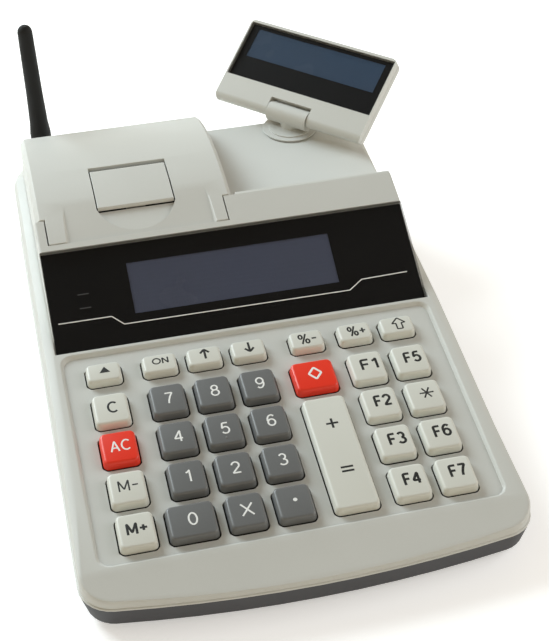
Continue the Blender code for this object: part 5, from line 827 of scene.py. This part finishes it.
class REGISTER_OT_key_mat(RegisterOperator):
    """Lays the silicone mat, with a dome under each key"""
    bl_idname = "register.key_mat"
    bl_label = "Key mat"

    def make(self, scene):
        bm = bmesh.new()
        bm.from_mesh(frame["nodes"]["key_mat"].data)
        bmesh.ops.remove_doubles(bm, verts=bm.verts, dist=0.01 * MM)
        up = TRAY.to_3x3() @ Vector((0.0, 0.0, 1.0))
        level = TRAY @ Vector((0.0, 0.0, MAT_TOP + 0.02 * MM))
        rim = cut(bm, level, up, clear_outer=True)["geom_cut"]
        bmesh.ops.holes_fill(bm, edges=only(rim, BMEdge), sides=0)
        new_piece("key_mat_sheet", bm, "mat_silicone", "case", ("key_mat",))
        profile = [(0.0, -0.1), (3.6, -0.1), (3.6, 0.2), (3.3, 0.5), (2.7, 1.7), (2.4, 2.0), (0.0, 2.0)]
        for key in key_names():
            x, y = key_place(key)[:2]
            bm = bmesh.new()
            turned(bm, [(radius * MM, height * MM) for radius, height in profile], 16)
            foot = TRAY @ Matrix.Translation((x, y, MAT_TOP))
            dome = new_piece("mat_dome_" + key[4:], bm, "mat_silicone", "case", (), foot)
            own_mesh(dome)


# Style of each kind of legend, in mm: height, width (none: as drawn), stroke, and how far up the cap it stands
STYLES = {
    "digit": (5.4, None, 0.66, 0.3), "times": (5.2, None, 0.66, 0.1), "thin": (5.3, None, 0.84, 0.3),
    "pair": (5.0, 6.9, 0.62, 0.4), "high pair": (5.0, 6.9, 0.62, 0.8), "memory": (5.0, 7.0, 0.92, 0.6),
    "bold": (5.2, 5.9, 1.02, 0.8), "small": (3.0, 5.9, 0.60, 0.9), "percent": (5.1, 6.9, 0.74, 0.2),
    "arrow": (4.9, None, 0.90, 0.7), "shift": (5.9, None, 0.62, 0.6), "star": (5.5, None, 0.66, 0.9),
    "diamond": (5.9, None, 0.84, 0.6), "plus": (4.6, None, 0.90, 13.0), "equals": (5.8, None, 0.90, -9.0),
}
# Key, its signs and their style
LEGENDS = [
    ("on", "ON", "small"), ("up", ["up"], "arrow"), ("down", ["down"], "arrow"), ("discount", "%-", "percent"),
    ("surcharge", "%+", "percent"), ("shift", ["shift"], "shift"), ("clear", "C", "thin"), ("all_clear", "AC", "pair"),
    ("void", "M-", "high pair"), ("recall", "M+", "memory"), *((digit, digit, "digit") for digit in "7894561230"),
    ("multiply", ["times"], "times"), ("subtotal", ["diamond"], "diamond"), ("total", ["plus"], "plus"),
    ("total", "=", "equals"), *((f"group_{digit}", "F" + digit, "bold") for digit in "12345"),
    ("star", ["star"], "star"), *((f"group_{digit}", "F" + digit, "bold") for digit in "67"),
]


class REGISTER_OT_legends(RegisterOperator):
    """Prints the legends on the key caps"""
    bl_idname = "register.legends"
    bl_label = "Legends"

    def make(self, scene):
        sizes = scene.register_legends
        previous = None
        for key, signs, style in LEGENDS:
            height, width, stroke, lift = STYLES[style]
            scale = sizes.scale * MM
            strokes = lettering(signs, height * scale, width and width * scale)
            bm = stroke_mesh(strokes, stroke * sizes.weight * MM)
            self.print_on(key, bm, lift, "_low" if key == previous else "")
            previous = key
        for key, sides, radius, wide, lift in (("feed", 3, 2.0 * MM, 1.2, 0.4), ("point", 20, 0.78 * MM, 1.0, 0.6)):
            bm = bmesh.new()
            bmesh.ops.create_circle(bm, cap_ends=True, segments=sides, radius=radius)
            bmesh.ops.scale(bm, vec=(wide, 1.0, 1.0), verts=bm.verts)
            self.print_on(key, raise_film(bm, -sizes.ink, sizes.ink), lift)

    def print_on(self, name, bm, lift, ending=""):
        key = "key_" + name
        x, y = key_place(key)[:2]
        finish = "dark_legend" if slot_of(key) == "light_key" else "light_legend"
        aside = 0.9 * MM if x > 30.0 * MM else 0.4 * MM
        place = TRAY @ Matrix.Translation((x + aside, y + lift * MM, KEY_TOP))
        new_piece("legend_" + name + ending, bm, finish, body_of(key), (), place)


def sheet_with_hole(outer, hole, low, high):
    """A sheet with a rectangular hole: (x0, x1, y0, y1) each in mm, between two heights."""
    bm = bmesh.new()
    x0, x1, y0, y1 = (value * MM for value in outer)
    bmesh.ops.create_grid(bm, x_segments=1, y_segments=1, size=0.5)
    bmesh.ops.scale(bm, vec=(x1 - x0, y1 - y0, 1.0), verts=bm.verts)
    bmesh.ops.translate(bm, vec=((x0 + x1) / 2, (y0 + y1) / 2, 0.0), verts=bm.verts)
    for axis in (0, 1):
        normal = (1.0 - axis, float(axis), 0.0)
        for value in hole[2 * axis:2 * axis + 2]:
            cut(bm, (value * MM * normal[0], value * MM * normal[1], 0.0), normal)
    x0, x1, y0, y1 = (value * MM for value in hole)
    middles = {face: face.calc_center_median() for face in bm.faces}
    inner = [face for face, middle in middles.items() if x0 < middle.x < x1 and y0 < middle.y < y1]
    bmesh.ops.delete(bm, geom=inner, context="FACES")
    return raise_film(bm, low * MM, high * MM)


# Prints on the window, in mm on its slope: the stepped line along its lower edge, and two short markers
WINDOW_LINE = [(-72.7, 12.7), (-51.6, 12.6), (-47.2, 8.55), (45.0, 8.1), (50.8, 12.0), (70.2, 12.4)]
MARKER_LEFT, MARKER_RIGHT = -63.4, -58.9
MARKER_HEIGHTS = (23.9, 17.9)
# Each display's mask: the outer edges and those of its hole (x0, x1, y0, y1), in mm on the display's plane
WINDOW_MASK = (-75.3, 75.3, 0.2, 44.2), (-42.0, 42.0, 13.2, 35.6)
HEAD_MASK = (-37.7, 37.7, 10.4, 37.2), (-34.0, 34.0, 21.1, 35.5)


class REGISTER_OT_window(RegisterOperator):
    """Builds the operator's window: smoked sheet, black mask, printed line, markers and display"""
    bl_idname = "register.window"
    bl_label = "Operator window"

    def make(self, scene):
        sizes = scene.register_legends
        refined("display_window", "window_acrylic", 0.25 * MM, 2)
        mask = sheet_with_hole(*WINDOW_MASK, -2.25, -2.05)
        new_piece("window_print_mask", mask, "window_mask", "case", (), SLOPE)
        refined("operator_lcd", ("board_mask", "operator_glass"), faces=lambda centre, normal: int(normal.z > 0.5))
        rows = [("window_line", WINDOW_LINE, sizes.line, "light_legend")]
        for number, y in enumerate(MARKER_HEIGHTS):
            dash = [(MARKER_LEFT, y), (MARKER_RIGHT, y)]
            rows.append((f"window_marker_{number + 1}", dash, 0.5 * MM, "marker_print"))
        for name, points, width, finish in rows:
            bm = stroke_mesh([[Vector(point) * MM for point in points]], width)
            new_piece(name, bm, finish, "case", (), SLOPE)


class REGISTER_OT_customer_display(RegisterOperator):
    """Finishes the customer display: neck, shells, window and display"""
    bl_idname = "register.customer_display"
    bl_label = "Customer display"

    def make(self, scene):
        edges = scene.register_edges
        refined("display_neck", "shell_plastic", edges.fine, 2, 30.0)
        for name in ("head_front", "head_back"):
            refined(name, "shell_plastic", edges.head, 3)
        refined("head_window", "head_acrylic", 0.2 * MM, 2)
        refined("head_lcd", "customer_glass")
        stand = HEAD @ Matrix.Rotation(math.radians(90.0), 4, "X")
        mask = sheet_with_hole(*HEAD_MASK, 2.37, 2.55)
        new_piece("head_print_mask", mask, "window_mask", body_of("head_front"), (), stand)


class REGISTER_OT_antenna(RegisterOperator):
    """Finishes the antenna's foot and rod"""
    bl_idname = "register.antenna"
    bl_label = "Antenna"

    def make(self, scene):
        for name in ("antenna_base", "antenna_whip"):
            refined(name, "antenna_rubber", scene.register_edges.fine, 2, 40.0)


class REGISTER_OT_electronics(RegisterOperator):
    """Finishes the boards and the battery, and puts the contacts into the sockets"""
    bl_idname = "register.electronics"
    bl_label = "Electronics"

    def make(self, scene):
        refined("main_board", "board_mask")
        refined("battery_pack", "battery_film", 1.0 * MM, 3)
        board_top, pin_radius = 18.65 * MM, 1.05 * MM
        inlet = BODY_SHIFT + Vector((55.88 * MM, 0.0, 24.6 * MM))

        def board_faces(centre, normal):
            """The inlet's pin, the sockets above the board, or the board itself."""
            if math.hypot(centre.x - inlet.x, centre.z - inlet.z) < pin_radius:
                return 2
            return 1 if centre.z > board_top else 0
        refined("interface_board", ("board_mask", "socket_plastic", "plain_steel"), faces=board_faces)
        contacts, pitch = 8, 1.02 * MM
        for number, opening in enumerate(frame["record"]["physics"]["openings"][1:]):
            bm = bmesh.new()
            low, high = (Vector(corner) for corner in opening["box_m"])
            wire = (
                (low.y - 0.3 * MM, high.z - 0.2 * MM), (high.y - 4.5 * MM, high.z + 0.1 * MM),
                (high.y - 3.4 * MM, high.z - 0.4 * MM), (low.y + 1.5 * MM, low.z + 3.0 * MM),
            )
            for step in range(contacts):
                x = (low.x + high.x) / 2 + (step - (contacts - 1) / 2) * pitch
                tube(bm, [Vector((x, y, z)) for y, z in wire], 0.2 * MM, 6)
            bmesh.ops.recalc_face_normals(bm, faces=bm.faces)
            new_piece(f"socket_contacts_{number + 1}", bm, "contact_gold", "case")


# Places of the case screws in the case's own plane and the height of their seats, in mm
SCREW_PLACES = ((40.0, -108.0), (-40.0, -108.0), (70.5, 104.0), (-70.5, 104.0))
SCREW_SEAT = 4.85


class REGISTER_OT_feet(RegisterOperator):
    """Finishes the feet and adds the case screws"""
    bl_idname = "register.feet"
    bl_label = "Feet and screws"

    def make(self, scene):
        for place in ("front_left", "front_right", "back_left", "back_right"):
            refined("foot_" + place, "foot_rubber", 0.3 * MM, 2, 40.0)
        bm = bmesh.new()
        for x, y in SCREW_PLACES:
            turn = Matrix.Rotation(math.radians(3.0 * x), 4, "Z")
            self.screw(bm, Matrix.Translation(BODY_SHIFT + Vector((x, y, SCREW_SEAT)) * MM) @ turn)
        new_piece("case_screws", bm, "zinc_screw", "case")

    def screw(self, bm, place):
        """A pan-head screw that looks down, with a crossed recess and a shank up into its post."""
        radius, height, arm, half, depth = 2.8 * MM, 1.9 * MM, 1.5 * MM, 0.42 * MM, 1.1 * MM
        neck, shank = 1.5 * MM, 8.0 * MM
        own = bmesh.new()
        bmesh.ops.create_circle(own, cap_ends=True, segments=32, radius=radius)
        for side in (Vector((1.0, 0.0, 0.0)), Vector((0.0, 1.0, 0.0))):
            for reach in (-arm, -half, half, arm):
                cut(own, side * reach, side)
        bmesh.ops.recalc_face_normals(own, faces=own.faces)
        for face in own.faces:
            if face.normal.z > 0.0:
                face.normal_flip()
        bmesh.ops.translate(own, vec=(0.0, 0.0, -height), verts=own.verts)
        edges = [edge for edge in own.edges if edge.is_boundary]
        for rise, share in ((height, 1.0), (0.0, neck / radius), (shank, 1.0)):
            grown = bmesh.ops.extrude_edge_only(own, edges=edges)["geom"]
            bmesh.ops.translate(own, vec=(0.0, 0.0, rise), verts=only(grown, BMVert))
            bmesh.ops.scale(own, vec=(share, share, 1.0), verts=only(grown, BMVert))
            edges = only(grown, BMEdge)
        bmesh.ops.contextual_create(own, geom=edges)
        cross = []
        for face in own.faces:
            middle = face.calc_center_median()
            near, far = sorted((abs(middle.x), abs(middle.y)))
            if abs(middle.z + height) < 0.01 * MM and far < arm and near < half:
                cross.append(face)
        dug = bmesh.ops.extrude_face_region(own, geom=cross)["geom"]
        bmesh.ops.translate(own, vec=(0.0, 0.0, depth), verts=only(dug, BMVert))
        bmesh.ops.delete(own, geom=[face for face in cross if face.is_valid], context="FACES")
        bmesh.ops.recalc_face_normals(own, faces=own.faces)
        sharp, reach = sharp_edges(own, 60.0), radius * 0.98
        outer = [edge for edge in sharp if max(vert.co.xy.length for vert in edge.verts) > reach]
        bevel(own, outer, 0.5 * MM, 3)
        bmesh.ops.transform(own, matrix=place, verts=own.verts)
        mesh = bpy.data.meshes.new("screw")
        own.to_mesh(mesh)
        own.free()
        bm.from_mesh(mesh)
        bpy.data.meshes.remove(mesh)


# The camera that matches the photograph: its place in mm, where it looks, and its right hand
CAMERA_PLACE = (-88.1, -454.3, 397.3)
CAMERA_FORWARD, CAMERA_RIGHT = (0.1698, 0.7687, -0.6167), (0.9735, -0.2282, -0.0164)
CAMERA_LENS = 82.73


class REGISTER_OT_stage(RegisterOperator):
    """Sets the floor, the lamps, the surround and the camera"""
    bl_idname = "register.stage"
    bl_label = "Stage"

    def make(self, scene):
        light = scene.register_stage
        bm = bmesh.new()
        bmesh.ops.create_grid(bm, x_segments=1, y_segments=1, size=3.0)
        mesh = bpy.data.meshes.new("floor")
        bm.to_mesh(mesh)
        bm.free()
        floor = bpy.data.objects.new("floor", mesh)
        scene.collection.objects.link(floor)
        white = (1.0, 1.0, 1.0)
        tree, shader = start_material(
            "studio_floor", Base_Color=light.floor, Roughness=0.9, Specular_IOR_Level=0.1, Emission_Color=white
        )
        rays = node(tree, "ShaderNodeLightPath").outputs
        seen = math_node(tree, "MAXIMUM", rays["Is Camera Ray"], rays["Is Glossy Ray"])
        seen = math_node(tree, "MAXIMUM", seen, rays["Is Transmission Ray"])
        fill(shader, Emission_Strength=times(tree, seen, light.glow))
        mesh.materials.append(bpy.data.materials["studio_floor"])

        world = bpy.data.worlds.new("studio")
        world.use_nodes = True
        scene.world = world
        tree = world.node_tree
        seen = node(tree, "ShaderNodeLightPath").outputs["Is Camera Ray"]
        way = node(tree, "ShaderNodeSeparateXYZ", Vector=node(tree, "ShaderNodeTexCoord").outputs["Generated"])
        surround = spread(tree, way.outputs["Z"], 0.15, 0.85, light.low, light.high)
        tint = blend_colours(tree, seen, light.surround, white)
        fill(tree.nodes["Background"], Color=tint, Strength=math_node(tree, "MAXIMUM", seen, surround))

        self.lamp(scene, "window_light", light.window_lamp, 0.9, (-0.85, 1.15, 0.95), (0.82, 0.94, 1.0))
        self.lamp(scene, "fill_light", light.fill_lamp, 0.8, (1.1, -0.2, 0.8), (0.88, 0.93, 1.0))

        camera = bpy.data.objects.new("camera", bpy.data.cameras.new("camera"))
        scene.collection.objects.link(camera)
        camera.data.lens = CAMERA_LENS
        camera.data.sensor_width = 36.0
        camera.data.clip_start = 0.01
        forward = Vector(CAMERA_FORWARD).normalized()
        right = Vector(CAMERA_RIGHT).normalized()
        turn = Matrix((right, right.cross(forward).normalized(), -forward)).transposed().to_4x4()
        camera.matrix_world = Matrix.Translation(BODY_SHIFT + Vector(CAMERA_PLACE) * MM) @ turn
        scene.camera = camera
        scene.view_settings.view_transform = "Standard"

    def lamp(self, scene, name, power, width, place, tint):
        """A square lamp that looks at the register."""
        data = bpy.data.lights.new(name, "AREA")
        for key, value in (("shape", "SQUARE"), ("size", width), ("energy", power), ("color", tint)):
            setattr(data, key, value)
        lamp = bpy.data.objects.new(name, data)
        scene.collection.objects.link(lamp)
        lamp.location = place
        lamp.rotation_euler = (Vector((0.0, 0.0, 0.03)) - Vector(place)).to_track_quat("-Z", "Y").to_euler()


PROPERTY_GROUPS = {
    "register_colours": RegisterColours, "register_edges": RegisterEdges,
    "register_legends": RegisterLegends, "register_stage": RegisterStage,
}
OPERATORS = (
    REGISTER_OT_case, REGISTER_OT_lid, REGISTER_OT_printer, REGISTER_OT_keys, REGISTER_OT_key_mat, REGISTER_OT_legends,
    REGISTER_OT_window, REGISTER_OT_customer_display, REGISTER_OT_antenna, REGISTER_OT_electronics, REGISTER_OT_feet,
    REGISTER_OT_stage,
)


class REGISTER_PT_looks(bpy.types.Panel):
    """Lists what the register is dressed with"""
    bl_label = "Ticket register"
    bl_idname = "REGISTER_PT_looks"
    bl_space_type = "VIEW_3D"
    bl_region_type = "UI"
    bl_category = "Register"

    def draw(self, context):
        for name in PROPERTY_GROUPS:
            group = getattr(context.scene, name)
            box = self.layout.box()
            for field in group.bl_rna.properties:
                if field.identifier not in {"rna_type", "name"}:
                    box.prop(group, field.identifier)
        for operator in OPERATORS:
            self.layout.operator(operator.bl_idname)


CLASSES = (*PROPERTY_GROUPS.values(), *OPERATORS, REGISTER_PT_looks)


def register():
    for kind in CLASSES:
        bpy.utils.register_class(kind)
    for name, group in PROPERTY_GROUPS.items():
        setattr(bpy.types.Scene, name, PointerProperty(type=group))


def unregister():
    for name in PROPERTY_GROUPS:
        delattr(bpy.types.Scene, name)
    for kind in reversed(CLASSES):
        bpy.utils.unregister_class(kind)


def main():
    register()
    make_materials()
    for operator in OPERATORS:
        getattr(bpy.ops.register, operator.bl_idname.split(".")[1])()


if __name__ == "__main__":
    main()
